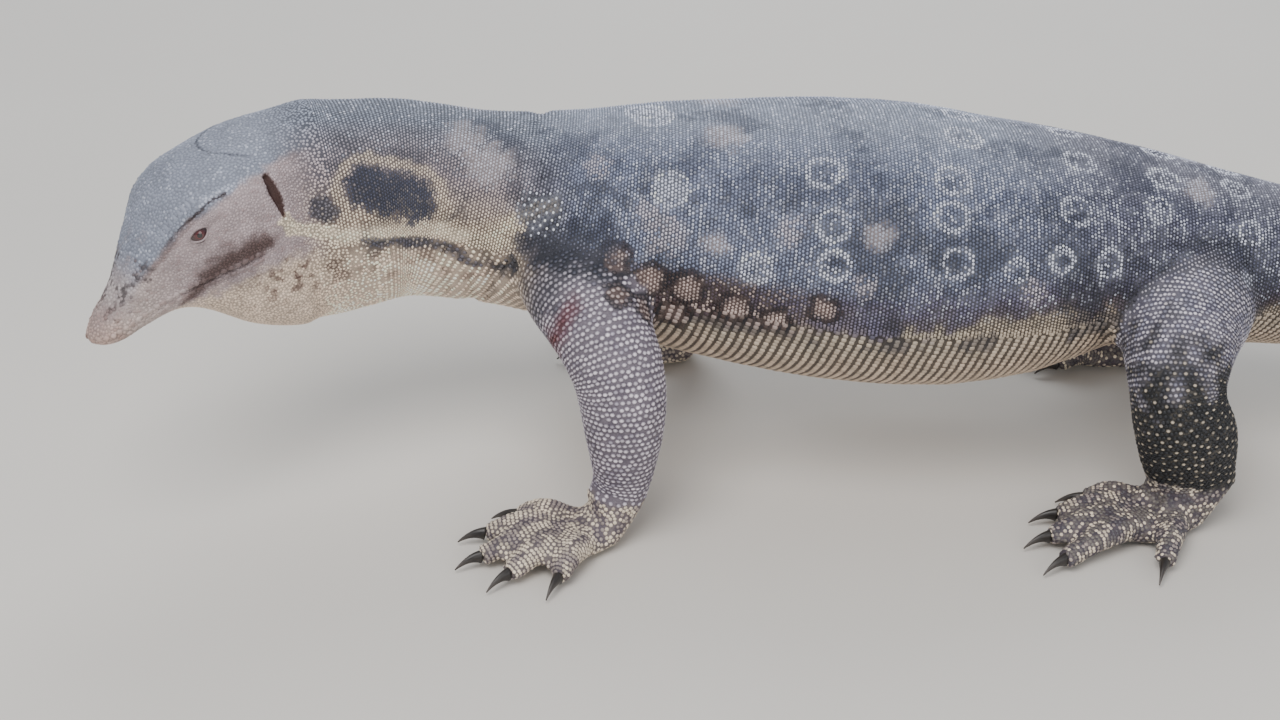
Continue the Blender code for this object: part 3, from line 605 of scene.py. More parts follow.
Ring = namedtuple("Ring", "key angle radius fill", defaults=(1,))
OCELLI = [
    Ring(0.250, 3, 0.014, 0.5), Ring(0.264, 51, 0.013, 1.0), Ring(0.329, 81, 0.011, 0.6),
    Ring(0.376, 41, 0.0125, 0.1), Ring(0.383, 63, 0.012, 0.15), Ring(0.386, 77, 0.011, 0.1),
    Ring(0.489, 12, 0.014, 0.2), Ring(0.475, 41, 0.013, 0.25), Ring(0.472, 57, 0.012, 0.1),
    Ring(0.477, 74, 0.011, 0.1), Ring(0.522, 76, 0.008, 0.3), Ring(0.578, 19, 0.012, 0.25),
    Ring(0.568, 51, 0.0115, 0.2), Ring(0.556, 72, 0.009, 0.1), Ring(0.594, 73, 0.010, 0.1),
    Ring(0.642, 22, 0.012, 0.3), Ring(0.633, 46, 0.010, 0.2), Ring(0.700, 14, 0.011, 0.3),
    Ring(0.705, 50, 0.0095, 0.2), Ring(0.698, 80, 0.0085, 0.2), Ring(0.770, 25, 0.010, 0.3),
    Ring(0.775, 60, 0.0095, 0.2), Ring(0.845, 30, 0.010, 0.3), Ring(0.850, 70, 0.009, 0.3),
    Ring(0.915, 32, 0.009, 0.4), Ring(0.920, 75, 0.0085, 0.4), Ring(0.985, 45, 0.0085, 0.5),
]
BROWN_DISCS = [
    Ring(0.2265, 85, 0.0115), Ring(0.254, 91, 0.0115), Ring(0.2815, 92, 0.012), Ring(0.236, 99, 0.0105),
    Ring(0.274, 106, 0.0115), Ring(0.317, 97, 0.0115), Ring(0.256, 110, 0.0105), Ring(0.348, 99, 0.010),
    Ring(0.382, 92, 0.0105),
]
PALE_BLOTCHES = [
    Ring(0.417, 66, 0.013), Ring(0.302, -20, 0.018), Ring(0.298, 73, 0.010), Ring(0.669, 27, 0.016),
    Ring(0.120, 45, 0.020), Ring(0.100, 25, 0.018),
]
DOT_CLUSTERS = [
    Ring(0.261, 71, 0.019), Ring(0.246, 62, 0.010), Ring(0.205, 40, 0.012), Ring(0.352, 66, 0.012),
    Ring(0.535, 84, 0.012), Ring(0.410, 84, 0.011),
]
ROSETTE = Ring(0.166, 70, 0.0205)
ARM_DISCS = [Ring(0.067, -122, 0.010), Ring(0.088, -116, 0.010), Ring(0.097, -154, 0.010)]
BELLY_EDGE = ((0.20, 0.293, 0.336, 0.410, 0.483, 0.556, 0.66), (107, 107, 105, 104, 99, 92, 96))
# Lines of places, each with its half width
CREAM_STRIPE = ([
    (0.090, 0.0584, 0.0037), (0.060, 0.0572, -0.0071), (-0.090, 0.0579, -0.0206), (0.0069, 98.7),
    (0.0275, 102.6), (0.0595, 103), (0.0892, 97), (0.1098, 99), (0.1259, 99), (0.1396, 90), (0.1533, 78),
    (0.1625, 69), (0.1739, 65),
], 0.0056)
CREAM_PATCH = ([(0.1281, 99), (0.1419, 91), (0.1520, 83)], 0.0125)
SHOULDER_FANS = [
    ([(0.1625, 87), ("foreleg", 0.0440, -72), ("foreleg", 0.0650, -87), ("foreleg", 0.0745, -105)], 0.0075),
    ([("foreleg", 0.0420, -53), ("foreleg", 0.0610, -70)], 0.0070),
    ([(0.1556, 104.8), (0.1442, 120)], 0.0070),
]
DARK_STRIPE = ([
    (0.0183, 106), (0.0343, 110), (0.0686, 110), (0.0915, 109), (0.1121, 113), (0.1236, 118),
], 0.0048)
NECK_SPOT = ([(0.0275, 69), (0.0435, 76), (0.0641, 82)], 0.0178)
EAR_SPOT = ([(-0.115, 0.0570, -0.0020), (-0.150, 0.0576, -0.0081)], 0.0090)
SHOULDER_DARK = ([(0.170, 88), (0.192, 84), (0.212, 80)], 0.0190)
TEMPLE_PATCH = ([
    (0.655, 0.0247, -0.0124), (0.576, 0.0331, -0.0058), (0.485, 0.0420, 0.0020), (0.410, 0.0476, 0.0030),
    (0.290, 0.0511, 0.0003), (0.220, 0.0525, -0.0033),
], (0.0035, 0.0080, 0.0140, 0.0155, 0.0125, 0.0075))
BROW_LINE = [
    (0.717, 0.0195, 0.0267), (0.623, 0.0289, 0.0351), (0.538, 0.0346, 0.0433), (0.475, 0.0398, 0.0478),
    (0.410, 0.0436, 0.0501), (0.350, 0.0448, 0.0510), (0.290, 0.0476, 0.0492),
]
BROW_RIDGE = BROW_LINE[4:] + [(0.210, 0.0494, 0.0478), (0.130, 0.0488, 0.0452)]
CANTHUS = [(0.678, 0.0205, 0.0321), (0.733, 0.0154, 0.0267), (0.792, 0.0117, 0.0211), (0.880, 0.0105, 0.0145)]
CROWN_CREASE = [
    (0.240, 0.0, 0.0625), (0.230, 0.0125, 0.0611), (0.180, 0.0252, 0.0577), (0.130, 0.0336, 0.0538),
    (0.110, 0.0391, 0.0505), (0.100, 0.0465, 0.0458),
]
EAR_SLIT = [(0.100, 0.0517, 0.0386), (0.090, 0.0562, 0.0281), (0.082, 0.0578, 0.0177), (0.088, 0.0584, 0.0073)]
EAR_HALF_WIDTHS = (0.0026, 0.0042, 0.0034, 0.0012)
# Share of the head's length, and height
NOSTRIL = (0.885, 0.0095)
SORE = [("foreleg", 0.0840, -60), ("foreleg", 0.0876, -46), ("foreleg", 0.0930, -26), ("foreleg", 0.0900, 5)]


def marked_place(place, side):
    """A marking's place in space, on the left (1) or right (-1)."""
    if place[0] == "foreleg":
        tube = LIMB_TUBES["foreleg_left" if side > 0 else "foreleg_right"]
        return tube.place(np.array([place[1]]), np.array([math.radians(place[2] * side)]))[0]
    if len(place) == 3:
        return head_point(place[0], place[1] * side, place[2])
    key, degrees = place
    wide, above, below = BODY_TUBE.at(key, BODY_TUBE.sizes)[:3]
    across, rise = math.sin(math.radians(degrees)), math.cos(math.radians(degrees))
    turn = math.atan2(across / wide, rise / (above if rise > 0 else below))
    return BODY_TUBE.place(np.array([key]), np.array([turn * side]))[0]


def marked_line(path, side):
    return np.array([marked_place(place, side) for place in path])


def line_distance(points, path, widths):
    """Each point's distance from a line, as a share of the line's half width there."""
    nearest = np.full(len(points), 1e9)
    for i, (start, end) in enumerate(zip(path, path[1:])):
        run = end - start
        t = np.clip((points - start) @ run / max(run @ run, 1e-12), 0, 1)
        away = np.linalg.norm(points - start - run * t[:, None], axis=1)
        nearest = np.minimum(nearest, away / (widths[i] * (1 - t) + widths[i + 1] * t))
    return nearest


def near_line(points, path, half_width=1.0, lift=0.0):
    """0 on a marked line of either side, and 1 at its half width. Without one it is the distance."""
    widths = np.broadcast_to(half_width, len(path))
    return np.min([line_distance(points, marked_line(path, side) + lift, widths) for side in (1, -1)], axis=0)


def ear_ratio(points):
    """Below 1 inside the openings of the ears, which are widest at the top, however deep."""
    inward = head_axes()[1]
    flat = points - (points @ inward)[:, None] * inward
    line = marked_line(EAR_SLIT, 1)
    return line_distance(flat, line - (line @ inward)[:, None] * inward, EAR_HALF_WIDTHS)


def field(points, size, seed=0):
    """Smooth noise from -1 to 1 with features of a given size."""
    offset = Vector((seed * 3.7, seed * 1.3, seed * 7.1))
    return np.array([noise.noise(Vector(p) / size + offset) for p in points])


def mixed(base, other, weight):
    weight = np.clip(np.asarray(weight, float), 0, 1)
    if weight.ndim:
        weight = weight[:, None]
    return base * (1 - weight) + other * weight


def tint(name, bright=1):
    """A colour of the settings by its name, or one written as hex, made brighter or darker."""
    return (rgb(name) if name[0] == "#" else colour(name)) * bright


def ramp(at, *stops):
    """Colours at places between stops, each a place, a colour's name and its brightness."""
    return between(at, [place for place, *_ in stops], [tint(name, bright) for _, name, bright in stops])


def tiled(count, name, bright=1):
    return np.tile(tint(name, bright), (count, 1))


class Shades:
    """Colours of the scales' tips and rims, painted over step by step."""

    def __init__(self, tip, rim):
        self.tip, self.rim = tip, rim

    def paint(self, weight, tip=None, rim=None):
        """Paints by a weight for each scale; tip and rim are a colour's name, its brightness and strength."""
        if tip:
            self.tip = mixed(self.tip, tint(*tip[:2]), weight * tip[2])
        if rim:
            self.rim = mixed(self.rim, tint(*rim[:2]), weight * rim[2])

    def cover(self, other, weight):
        self.tip, self.rim = mixed(self.tip, other.tip, weight), mixed(self.rim, other.rim, weight)


class Coat:
    """Finds the zone of each point and gives its scale's colours: at the tip and at the rim."""

    def __init__(self, points, normals, seed, row=None):
        self.points, self.normals = points, normals
        self.count = len(points)
        self.random = np.random.default_rng(seed)
        self.chance = self.random.random(len(points))
        self.second = self.random.random(len(points))
        self.third = self.random.random(len(points))
        self.row = self.random.integers(0, 900, len(points)) if row is None else row
        self.zones()

    def zones(self):
        points = self.points
        self.key, self.angle, body_ratio = BODY_TUBE.find(points)
        count = self.count
        self.zone = np.zeros(count, int)
        best = np.abs(body_ratio - 1)
        self.limb_key = np.zeros(count)
        self.limb_angle = np.zeros(count)
        self.limb_number = np.full(count, -1)
        self.limb_share = np.zeros(count)
        for number, limb in enumerate(LIMBS):
            tube = LIMB_TUBES[limb.name]
            low, high = tube.centres.min(0) - 0.08, tube.centres.max(0) + 0.08
            inside = np.nonzero(((points > low) & (points < high)).all(1))[0]
            key, angle, ratio = tube.find(points[inside])
            closer = np.abs(ratio - 1) < best[inside]
            who = inside[closer]
            best[who] = np.abs(ratio - 1)[closer]
            self.zone[who] = 2
            self.limb_number[who] = number
            self.limb_key[who], self.limb_angle[who] = key[closer], angle[closer]
            self.limb_share[who] = np.interp(key[closer], tube.keys, tube.joint_counts)
            ground, forward, _ = foot_frame(limb)
            palm = np.linalg.norm((points - ground)[:, :2], axis=1) < 0.17
            palm &= points[:, 2] < 0.040 - 0.22 * ((points - ground) @ -forward)
            palm &= (points[:, 2] < 0.045) & (self.limb_number != -1) | (palm & (best > 0.2))
            palm &= np.sign(points[:, 1] - PLACE[1]) == limb.side
            palm &= np.abs(points[:, 0] - ground[0]) < 0.17
            self.zone[palm & (self.zone != 0)] = 3
            self.zone[palm & (self.zone == 0) & (best > 0.25)] = 3
            self.limb_number[palm & (self.zone == 3)] = number
        front = (points - BODY_TUBE.centres[0]) @ BODY_TUBE.ahead[0] < 0
        front &= points[:, 0] < BODY_TUBE.centres[0, 0] + 0.03
        self.zone[front] = 1
        self.share = np.full(count, HEAD_START)
        self.wide, self.high = np.zeros(count), np.zeros(count)
        near = np.nonzero(points[:, 0] < BODY_TUBE.centres[0, 0] + 0.04)[0]
        if len(near):
            share, wide, high = head_find(points[near])
            self.share[near], self.wide[near], self.high[near] = share, wide, high

    def broken(self, share):
        """A soft marking broken up, so that it covers a share of whole scales at its edges."""
        return 0.3 * share + 0.7 * (self.third < share)

    def discs(self, rings, size, seed, rough, tube=()):
        """For each disc on each side: how far the points are from its middle, with a ragged edge at 1."""
        uneven = rough * field(self.points, size, seed)
        for ring in rings:
            for side in (1, -1):
                middle = marked_place((*tube, ring.key, ring.angle), side)
                yield np.linalg.norm(self.points - middle, axis=1) / ring.radius + uneven

    def set_apart(self, order, reach):
        """1 at the scales that stand apart from each other by a reach, taken in order, and 0 at the rest."""
        apart, white = Apart(0.009), np.zeros(self.count)
        for i in order:
            white[i] = apart.take(tuple(self.points[i]), reach)
        return white

    def colours(self):
        """Colours of each scale's tip and rim."""
        look = self.body_base()
        head = (self.zone == 1).astype(float) * ease(0.0, 1.0, (self.share - HEAD_START) / 0.22)
        look.cover(self.head_base(), head)
        limb = np.isin(self.zone, (2, 3)).astype(float)
        limb *= np.where(self.zone == 2, ease(0.6, 1.5, self.limb_share), 1)
        look.cover(self.limb_base(), limb)
        self.body_marks(look, limb)
        self.neck_marks(look)
        self.head_marks(look)
        calm = (self.zone == 1) & (self.share > 0.0)
        value = 1 + np.where(calm, 0.16, 0.40) * (self.chance - 0.5)
        dust = 0.14 * field(self.points, 0.030, 3) + 0.14 * field(self.points, 0.010, 4)
        return look.tip * (value + dust)[:, None], look.rim * (1 + dust)[:, None]

    def body_base(self):
        degrees = np.degrees(np.abs(self.angle))
        wave = 9 * field(self.points, 0.022, 1) + 5 * field(self.points, 0.008, 2)
        degrees = degrees + wave * ease(70, 100, degrees)
        key = np.where(self.zone == 1, 0.0, self.key)
        degrees = degrees + (101 - np.interp(key, *BELLY_EDGE)) * ease(60, 86, degrees) * ease(0.18, 0.24, key)
        # From the back down to the belly: the paler back at the top is partly dust and partly a painted sheen of
        # the light from above.
        torso = Shades(
            ramp(degrees, (12, "back", 1), (42, "flank", 1.06), (78, "flank", 0.88),
                 (90, "low", (0.80, 0.88, 1.15)), (99, "low", 0.8), (103, "cream", 0.66),
                 (128, "cream", (0.84, 0.76, 0.74))),
            ramp(degrees, (8, "back_net", 0.9), (42, "flank_net", 1), (92, "low_net", 0.8), (100, "bar", 0.5),
                 (130, "bar", 0.7), (158, "cream", 0.5)),
        )
        # The neck's top takes the back's colour too, with its painted sheen.
        look = Shades(
            ramp(degrees, (20, "back", 0.86), (60, "face", 1.05), (92, "cream", 1.2), (120, "throat", 1.5)),
            ramp(degrees, (15, "back_net", 0.26), (60, "flank_net", 0.8), (92, "temple", 0.9),
                 (112, "throat", 0.52), (150, "throat", 0.7)),
        )
        mottle = ease(-0.05, 0.40, field(self.points, 0.010, 26)) * ease(98, 106, degrees)
        mottle = self.broken(mottle * (1 - ease(118, 130, degrees)))
        look.paint(mottle, ("temple", 1.8, 0.45), ("temple", 0.7, 0.7))
        look.cover(torso, ease(0.13, 0.20, key))
        look.cover(self.tail_base(key, degrees), ease(0.74, 0.95, key))
        hips = 1 - ease(0.48, 0.62, key)[:, None] * (0.40, 0.46, 0.46) * (1 - ease(100, 112, degrees))[:, None]
        return Shades(look.tip * hips, look.rim * hips)

    def tail_base(self, key, degrees):
        """Slate above with pale cross bands, paler below."""
        tail = Shades(
            ramp(degrees, (30, "flank", 0.75), (100, "low", 0.8), (140, "cream", 0.8)),
            ramp(degrees, (30, "flank_net", 0.8), (110, "low_net", 1), (150, "cream", 0.4)),
        )
        phase = ((key - 1.0) / 0.062 + 0.16 * field(self.points, 0.02, 9)) % 1
        band = 1 - ease(0.16, 0.30, np.abs(phase - 0.5) + 0.10 * (1 - ease(20, 60, degrees)))
        tail.paint(band * ease(0.98, 1.06, key), ("cream", 0.9, 0.85), ("brown", 0.6, 0.7))
        return tail

    def body_marks(self, look, limb):
        degrees, key, points = np.degrees(np.abs(self.angle)), self.key, self.points
        on_body = (1 - limb) * (self.zone != 1)
        # Pale scales sprinkled over the flank, in short runs along their rows
        along_row = np.stack([self.row * 7.31, self.angle / 0.075, self.row * 0], axis=1)
        runs = field(along_row, 1.0, 5) + 0.25 * field(points, 0.050, 5)
        sprinkle = np.maximum(ease(0.16, 0.24, runs), self.chance < 0.05) * (self.second < 0.85)
        sprinkle = sprinkle * (0.35 + 0.65 * ease(12, 34, degrees)) * (1 - ease(84, 100, degrees))
        sprinkle *= on_body * ease(0.10, 0.24, key) * (1 - 0.6 * ease(0.9, 1.1, key))
        look.paint(sprinkle, ("ocellus", 1, 0.68))
        look.paint((self.second < 0.11) * (1 - ease(40, 70, degrees)) * on_body, ("ocellus", 1.05, 0.65))
        clouds = field(points, 0.045, 6) + 0.7 * field(points, 0.014, 7)
        dark = self.broken(ease(-0.12, 0.55, clouds)) * on_body * ease(22, 55, degrees) * (degrees < 112)
        look.paint(dark, ("flank_net", 1, 0.58), ("black", 0.5, 0.6))
        smoke = ease(0.10, 0.50, field(points, 0.032, 17) + 0.5 * field(points, 0.009, 18))
        smoke = self.broken(smoke) * on_body * (1 - ease(30, 60, degrees)) * ease(0.05, 0.12, key)
        look.paint(smoke, ("flank_net", 1.3, 0.42), ("flank_net", 1, 0.6))
        low = ease(82, 90, degrees) * (1 - ease(103, 114, degrees)) * on_body
        low *= ease(0.19, 0.23, key) * (1 - ease(0.30, 0.42, key))
        look.paint(low, ("temple", 0.75, 0.8), ("temple", 0.35, 0.8))
        look.paint(low * (self.second < 0.42), ("brown", 1.2, 1))
        for number, ring in enumerate(OCELLI):
            self.paint_ring(look, ring, number, on_body)
        for away in self.discs(BROWN_DISCS, 0.007, 15, 0.30):
            edge = self.broken(1 - ease(0.06, 0.32, np.abs(away - 1.06))) * on_body
            bright = (1.10 + 0.30 * (away < 0.5))[:, None]
            look.paint((1 - ease(0.70, 1.02, away)) * on_body, ("brown", bright, 0.95), ("temple", 0.75, 0.9))
            look.paint(edge, ("temple", 0.40, 0.9), ("black", 0.4, 1))
        # Painted shade: the scales along the body's folds are darkened, as shade falls in the creases that the
        # skin's sculpt presses.
        for fold in BODY_FOLDS[1:12]:
            shade = (1 - ease(0.3, 1.1, near_line(points, fold.places, fold.width))) * (self.zone != 1)
            look.paint(shade * ease(0.12, 0.15, key), ("black", 0.9, 0.55), ("black", 0.4, 0.7))
        for away in self.discs(DOT_CLUSTERS, 0.007, 16, 0.4):
            look.paint((1 - ease(0.6, 1.1, away)) * (self.chance < 0.75) * on_body, ("leg", 1, 0.7))
        for away in self.discs(PALE_BLOTCHES, 0.008, 8, 0.3):
            soft = self.broken(1 - ease(0.35, 1.25, away)) * 0.55 * on_body
            look.paint(soft, ("ocellus", 0.82, 1), ("brown", 0.9, 1))

    def paint_ring(self, look, ring, number, on_body):
        """One ring of pale scales with a darker middle, on both sides."""
        for side in (1, -1):
            shift = np.random.default_rng(100 + number).normal(0, 1, 3) * (side < 0)
            middle = marked_place((ring.key + 0.006 * shift[0], ring.angle + 4 * shift[1]), side)
            away = np.linalg.norm(self.points - middle, axis=1)
            if not (away < ring.radius * 1.8).any():
                continue
            band = (1 - ease(0.0018, 0.0026, np.abs(away - ring.radius))) * (self.chance < 0.86)
            core = 1 - ease(ring.radius - 0.0040, ring.radius - 0.0018, away)
            speck = core * (self.second < ring.fill + 0.12)
            look.paint(core * (1 - speck) * 0.24 * on_body, ("flank_net", 1.2, 1))
            look.paint((core * 0.4 + band * 0.8) * on_body, rim=("black", 0.5, 0.8))
            look.paint(np.clip(band + speck * 0.7, 0, 1) * 0.95 * on_body, ("ocellus", 1.15, 1))

    def neck_marks(self, look):
        points = self.points
        ragged = 0.34 * field(points, 0.007, 11) + 0.16 * field(points, 0.003, 12)
        neck = ((self.zone == 1) | (self.key < 0.24)).astype(float)
        stripe = 1 - ease(0.75, 1.25, near_line(points, *CREAM_STRIPE) + ragged)
        patch = 1 - ease(0.6, 1.3, near_line(points, *CREAM_PATCH) + ragged)
        look.paint(np.maximum(stripe, patch * (self.chance < 0.8)) * neck, ("cream", 1.42, 1))
        look.paint(stripe * neck, rim=("cream", 0.639, 0.9))
        look.paint(patch * neck, rim=("temple", 0.45, 0.9))
        halo = 1 - ease(0.12, 0.36, np.abs(near_line(points, *NECK_SPOT) + 0.6 * ragged - 1.30))
        look.paint(halo * neck, ("cream", 1.278, 0.7), ("temple", 1, 0.5))
        spots = ((NECK_SPOT, 0.97), (EAR_SPOT, 0.85), (DARK_STRIPE, 0.9), (SHOULDER_DARK, 0.75))
        for marking, strength in spots:
            dark = 1 - ease(0.72, 1.18, near_line(points, *marking) + 0.9 * ragged)
            dark = self.broken(dark) * neck * strength
            # The dark spots' tips are black lifted to a lighter grey-blue: a painted sheen over their own black.
            look.paint(dark * np.where(self.chance < 0.30, 0.62, 1.0), ("black", (1.5, 1.55, 1.75), 1))
            look.paint(dark, rim=("black", 0.7, 1))
        streaks = 1 - 0.5 * ease(0.05, 0.2, field(points * (1, 1, 0.35), 0.004, 19))
        for marking in SHOULDER_FANS:
            fan = self.broken(1 - ease(0.6, 1.3, near_line(points, *marking) + ragged)) * streaks
            look.paint(fan, ("black", 1.2, 0.85), ("black", 0.5, 0.9))
        # Large white scales set apart on dark slate, over each shoulder
        for away in self.discs([ROSETTE], 0.008, 20, 0.35):
            slate = 1 - ease(0.65, 1.1, away)
            white = self.set_apart(np.nonzero((slate > 0.25) & (self.zone != 1))[0], 0.0047)
            look.paint(slate, ("black", 1.3, 0.85), ("black", 0.5, 0.9))
            look.paint(white * np.sqrt(slate), ("ocellus", 1.25, 1))

    def limb_base(self):
        """Dark legs with pale dots on most scales; the hind shanks nearly black with dots set apart."""
        points, share = self.points, self.limb_share
        hind = np.array([limb.kind == "hind" for limb in LIMBS] + [False])[self.limb_number].astype(float)
        shank = hind * ease(1.9, 3.2, share + 0.9 * field(points, 0.012, 27))
        crowd = 0.90 - 0.22 * hind + 0.35 * field(points, 0.018, 24)
        dots = (self.second < crowd) * (0.62 + 0.38 * self.chance)
        look = Shades(tiled(self.count, "leg_plain"), tiled(self.count, "leg_net"))
        look.paint(hind, ("flank", 1.15, 0.35), ("flank_net", 1.3, 0.45))
        look.tip = mixed(look.tip, mixed(tiled(self.count, "leg"), colour("ocellus"), hind * 0.2), dots)
        root = 1 - ease(1.35, 2.0, share + 0.5 * field(points, 0.012, 22))
        look.paint(root * (1 - hind) * (1 - 0.5 * dots), ("black", 1.5, 0.85))
        look.paint(root, rim=("black", 0.6, 0.8))
        look.paint(shank, ("shank_net", 1.3, 1), ("shank_net", 0.7, 1))
        order = self.random.permutation(self.count)
        white = self.set_apart(order[shank[order] > 0.05], 0.0057)
        look.paint(shank * white * (0.5 + 0.4 * self.chance), ("cream", 0.9, 1))
        for away in self.discs(ARM_DISCS, 0.007, 15, 0.3, ("foreleg",)):
            look.paint(1 - ease(0.70, 1.0, away), ("brown", 1.1, 0.9), ("temple", 0.7, 0.9))
            edge = self.broken(1 - ease(0.06, 0.3, np.abs(away - 1.06)))
            look.paint(edge, ("temple", 0.4, 0.9), ("black", 0.4, 1))
        away = line_distance(points, marked_line(SORE, 1), np.ones(len(SORE)))
        sore = 1 - ease(0.3, 1.3, away / 0.0105 + 0.5 * field(points, 0.008, 23))
        raw = 1 - ease(0.4, 1.2, away / 0.0036 + 0.5 * field(points, 0.004, 25))
        look.paint(sore, ("#8a5866", 1, 0.60), ("#5a2a36", 1, 0.75))
        look.paint(raw, ("#6b2429", 1, 0.85), ("#451317", 1, 0.9))
        foot = Shades(tiled(self.count, "cream", 1.08), mixed(look.rim, tint("leg_net", 0.9), 0.8))
        foot.paint(ease(-0.05, 0.30, field(points, 0.010, 21)), ("leg_net", 1.3, 0.7))
        foot.paint(hind * (self.second < 0.55), ("black", 1, 0.8))
        look.cover(foot, (self.zone == 3).astype(float))
        return look

    def head_base(self):
        share, high, points = self.share, self.high, self.points
        brow = np.interp(share, RAIL_SHARES, HEAD_RAILS["brow"][1])
        lip = np.interp(share, RAIL_SHARES, HEAD_RAILS["lip"][1])
        ragged = 0.0016 * field(points, 0.006, 31)
        top = ease(-0.004, 0.001, high - brow + ragged) * (1 - 0.75 * ease(0.66, 0.80, share))
        look = Shades(tiled(self.count, "face"), None)
        look.paint(ease(0.5, 0.9, share), ("cream", 0.9, 0.35))
        look.rim = look.tip * 0.86
        look.paint(ease(0.05, 0.4, field(points * (1, 1, 1.8), 0.007, 33)), ("temple", 2.2, 0.4))
        look.paint(top, ("crown", 1, 1), ("crown", 0.8, 1))
        below = 1 - ease(-0.022, -0.006, high - lip + 4 * ragged)
        flecks = ease(0.14, 0.34, field(points, 0.0055, 32)) * (1.3 - ease(0.25, 0.5, share))
        flecks = flecks * (1 - ease(0.034, 0.055, lip - high)) * below
        look.paint(below, ("throat", 1, 1), ("throat", 0.62, 1))
        look.paint(flecks, ("temple", 1.3, 0.6), ("temple", 1, 0.7))
        look.paint((self.second < 0.12) * top, ("ocellus", 1, 0.32))
        return look

    def head_marks(self, look):
        head = (self.zone == 1).astype(float)
        if not head.any():
            return
        points, share = self.points, self.share
        temple = 1 - ease(0.15, 1.35, near_line(points, *TEMPLE_PATCH) + 0.35 * field(points, 0.006, 41))
        look.paint(temple * head, ("temple", 1, 0.88), ("temple", 0.7, 0.9))
        # Painted shade: the scales in the ears' deep openings are darkened brown, as shade falls in the hollows.
        look.paint((1 - ease(0.85, 1.25, ear_ratio(points))) * head, ("temple", 0.9, 1), ("temple", 0.9, 1))
        lift = head_axes()[2] * 0.0030
        # Painted highlight: a pale band along the raised brow ridge, where the light from above catches it.
        ridge_highlight = (1 - ease(0.0010, 0.0048, near_line(points, BROW_RIDGE, lift=lift))) * head
        look.paint(ridge_highlight * (1 - ease(0.38, 0.43, share)), ("ocellus", 1, 0.45), ("crown", 1.1, 0.6))
        # Painted shadow: a brown band on the side of the head below the brow ridge, where shade falls under it.
        under = (1 - ease(0.0010, 0.0030, near_line(points, BROW_LINE, lift=-lift))) * head
        look.paint(under, ("temple", 1, 0.40), ("temple", 0.8, 0.45))
        # Painted shade: a thin dark line in the groove pressed along the brow.
        line = (1 - ease(0.0006, 0.0018, near_line(points, BROW_LINE))) * head
        look.paint(line, ("temple", 0.45, 0.85), ("temple", 0.4, 0.9))
        # Painted shade: the scales along the crease pressed into the crown are darkened.
        crease = (1 - ease(0.0006, 0.0019, near_line(points, CROWN_CREASE))) * head
        look.paint(crease, ("black", 1, 0.6), ("black", 0.6, 0.8))
        blots = field(points, 0.0034, 42) - near_line(points, CANTHUS) / 0.013 + 0.20
        blots = self.broken(ease(-0.15, 0.20, blots)) * head * ease(0.62, 0.68, share)
        look.paint(blots, ("#463c3d", 1, 0.85), ("#332b2d", 1, 0.8))
        clouds = ease(0.0, 0.4, field(points, 0.009, 43)) * head * ease(0.5, 0.7, share) * (self.high > 0)
        look.paint(clouds, ("face", 0.55, 0.6))
        look.paint(ease(0.80, 0.96, share) * head, ("#b98f80", 1, 0.45), ("#8f6d62", 1, 0.45))


# Node helper and materials

def add_node(tree, kind, links=None, values=None, **settings):
    """Adds a node with its settings, socket values and links."""
    node = tree.nodes.new(kind)
    for name, value in settings.items():
        setattr(node, name, value)
    for socket, value in (values or {}).items():
        node.inputs[socket].default_value = value
    for socket, source in (links or {}).items():
        tree.links.new(source, node.inputs[socket])
    return node


def new_material(name):
    """An empty material with its shader, and the node tree."""
    made = bpy.data.materials.new(name)
    made.use_nodes = True
    tree = made.node_tree
    return made, tree, tree.nodes["Principled BSDF"]


def beaded_scale_material():
    """Keratin beads, dry and slightly waxy: a soft highlight on each tip, a dull rim where dust and dead
    skin gather, and fine grain across."""
    made, tree, shader = new_material("keratin scale, dry")
    place = add_node(tree, "ShaderNodeTexCoord").outputs["Object"]
    tip = add_node(tree, "ShaderNodeAttribute", attribute_name="tip")
    rim = add_node(tree, "ShaderNodeAttribute", attribute_name="rim")
    rise = add_node(tree, "ShaderNodeAttribute", attribute_name="rise")
    # Grain of 0.6 mm, drawn twice as coarse as the real one so that it shows
    grain = add_node(tree, "ShaderNodeTexNoise", {"Vector": place}, {"Scale": 1600.0, "Detail": 2.0})
    wide = add_node(tree, "ShaderNodeMapRange", {"Value": rise.outputs["Fac"]},
                    {"From Min": 0.10, "From Max": 0.72})
    mix = add_node(tree, "ShaderNodeMix",
                   {"Factor": wide.outputs["Result"], 6: rim.outputs["Color"], 7: tip.outputs["Color"]},
                   data_type="RGBA")
    shade = add_node(tree, "ShaderNodeMapRange", {"Value": grain.outputs["Fac"]},
                     {"From Min": 0.3, "From Max": 0.7, "To Min": 0.86, "To Max": 1.12})
    tinted = add_node(tree, "ShaderNodeVectorMath", {0: mix.outputs[2], "Scale": shade.outputs["Result"]},
                      operation="SCALE")
    rough = add_node(tree, "ShaderNodeMapRange", {"Value": grain.outputs["Fac"]},
                     {"From Min": 0.3, "From Max": 0.7, "To Min": 0.40, "To Max": 0.60})
    bump = add_node(tree, "ShaderNodeBump", {"Height": grain.outputs["Fac"]},
                    {"Strength": 0.35, "Distance": 0.0002})
    tree.links.new(tinted.outputs["Vector"], shader.inputs["Base Color"])
    tree.links.new(rough.outputs["Result"], shader.inputs["Roughness"])
    tree.links.new(bump.outputs["Normal"], shader.inputs["Normal"])
    shader.inputs["IOR"].default_value = 1.5
    return made


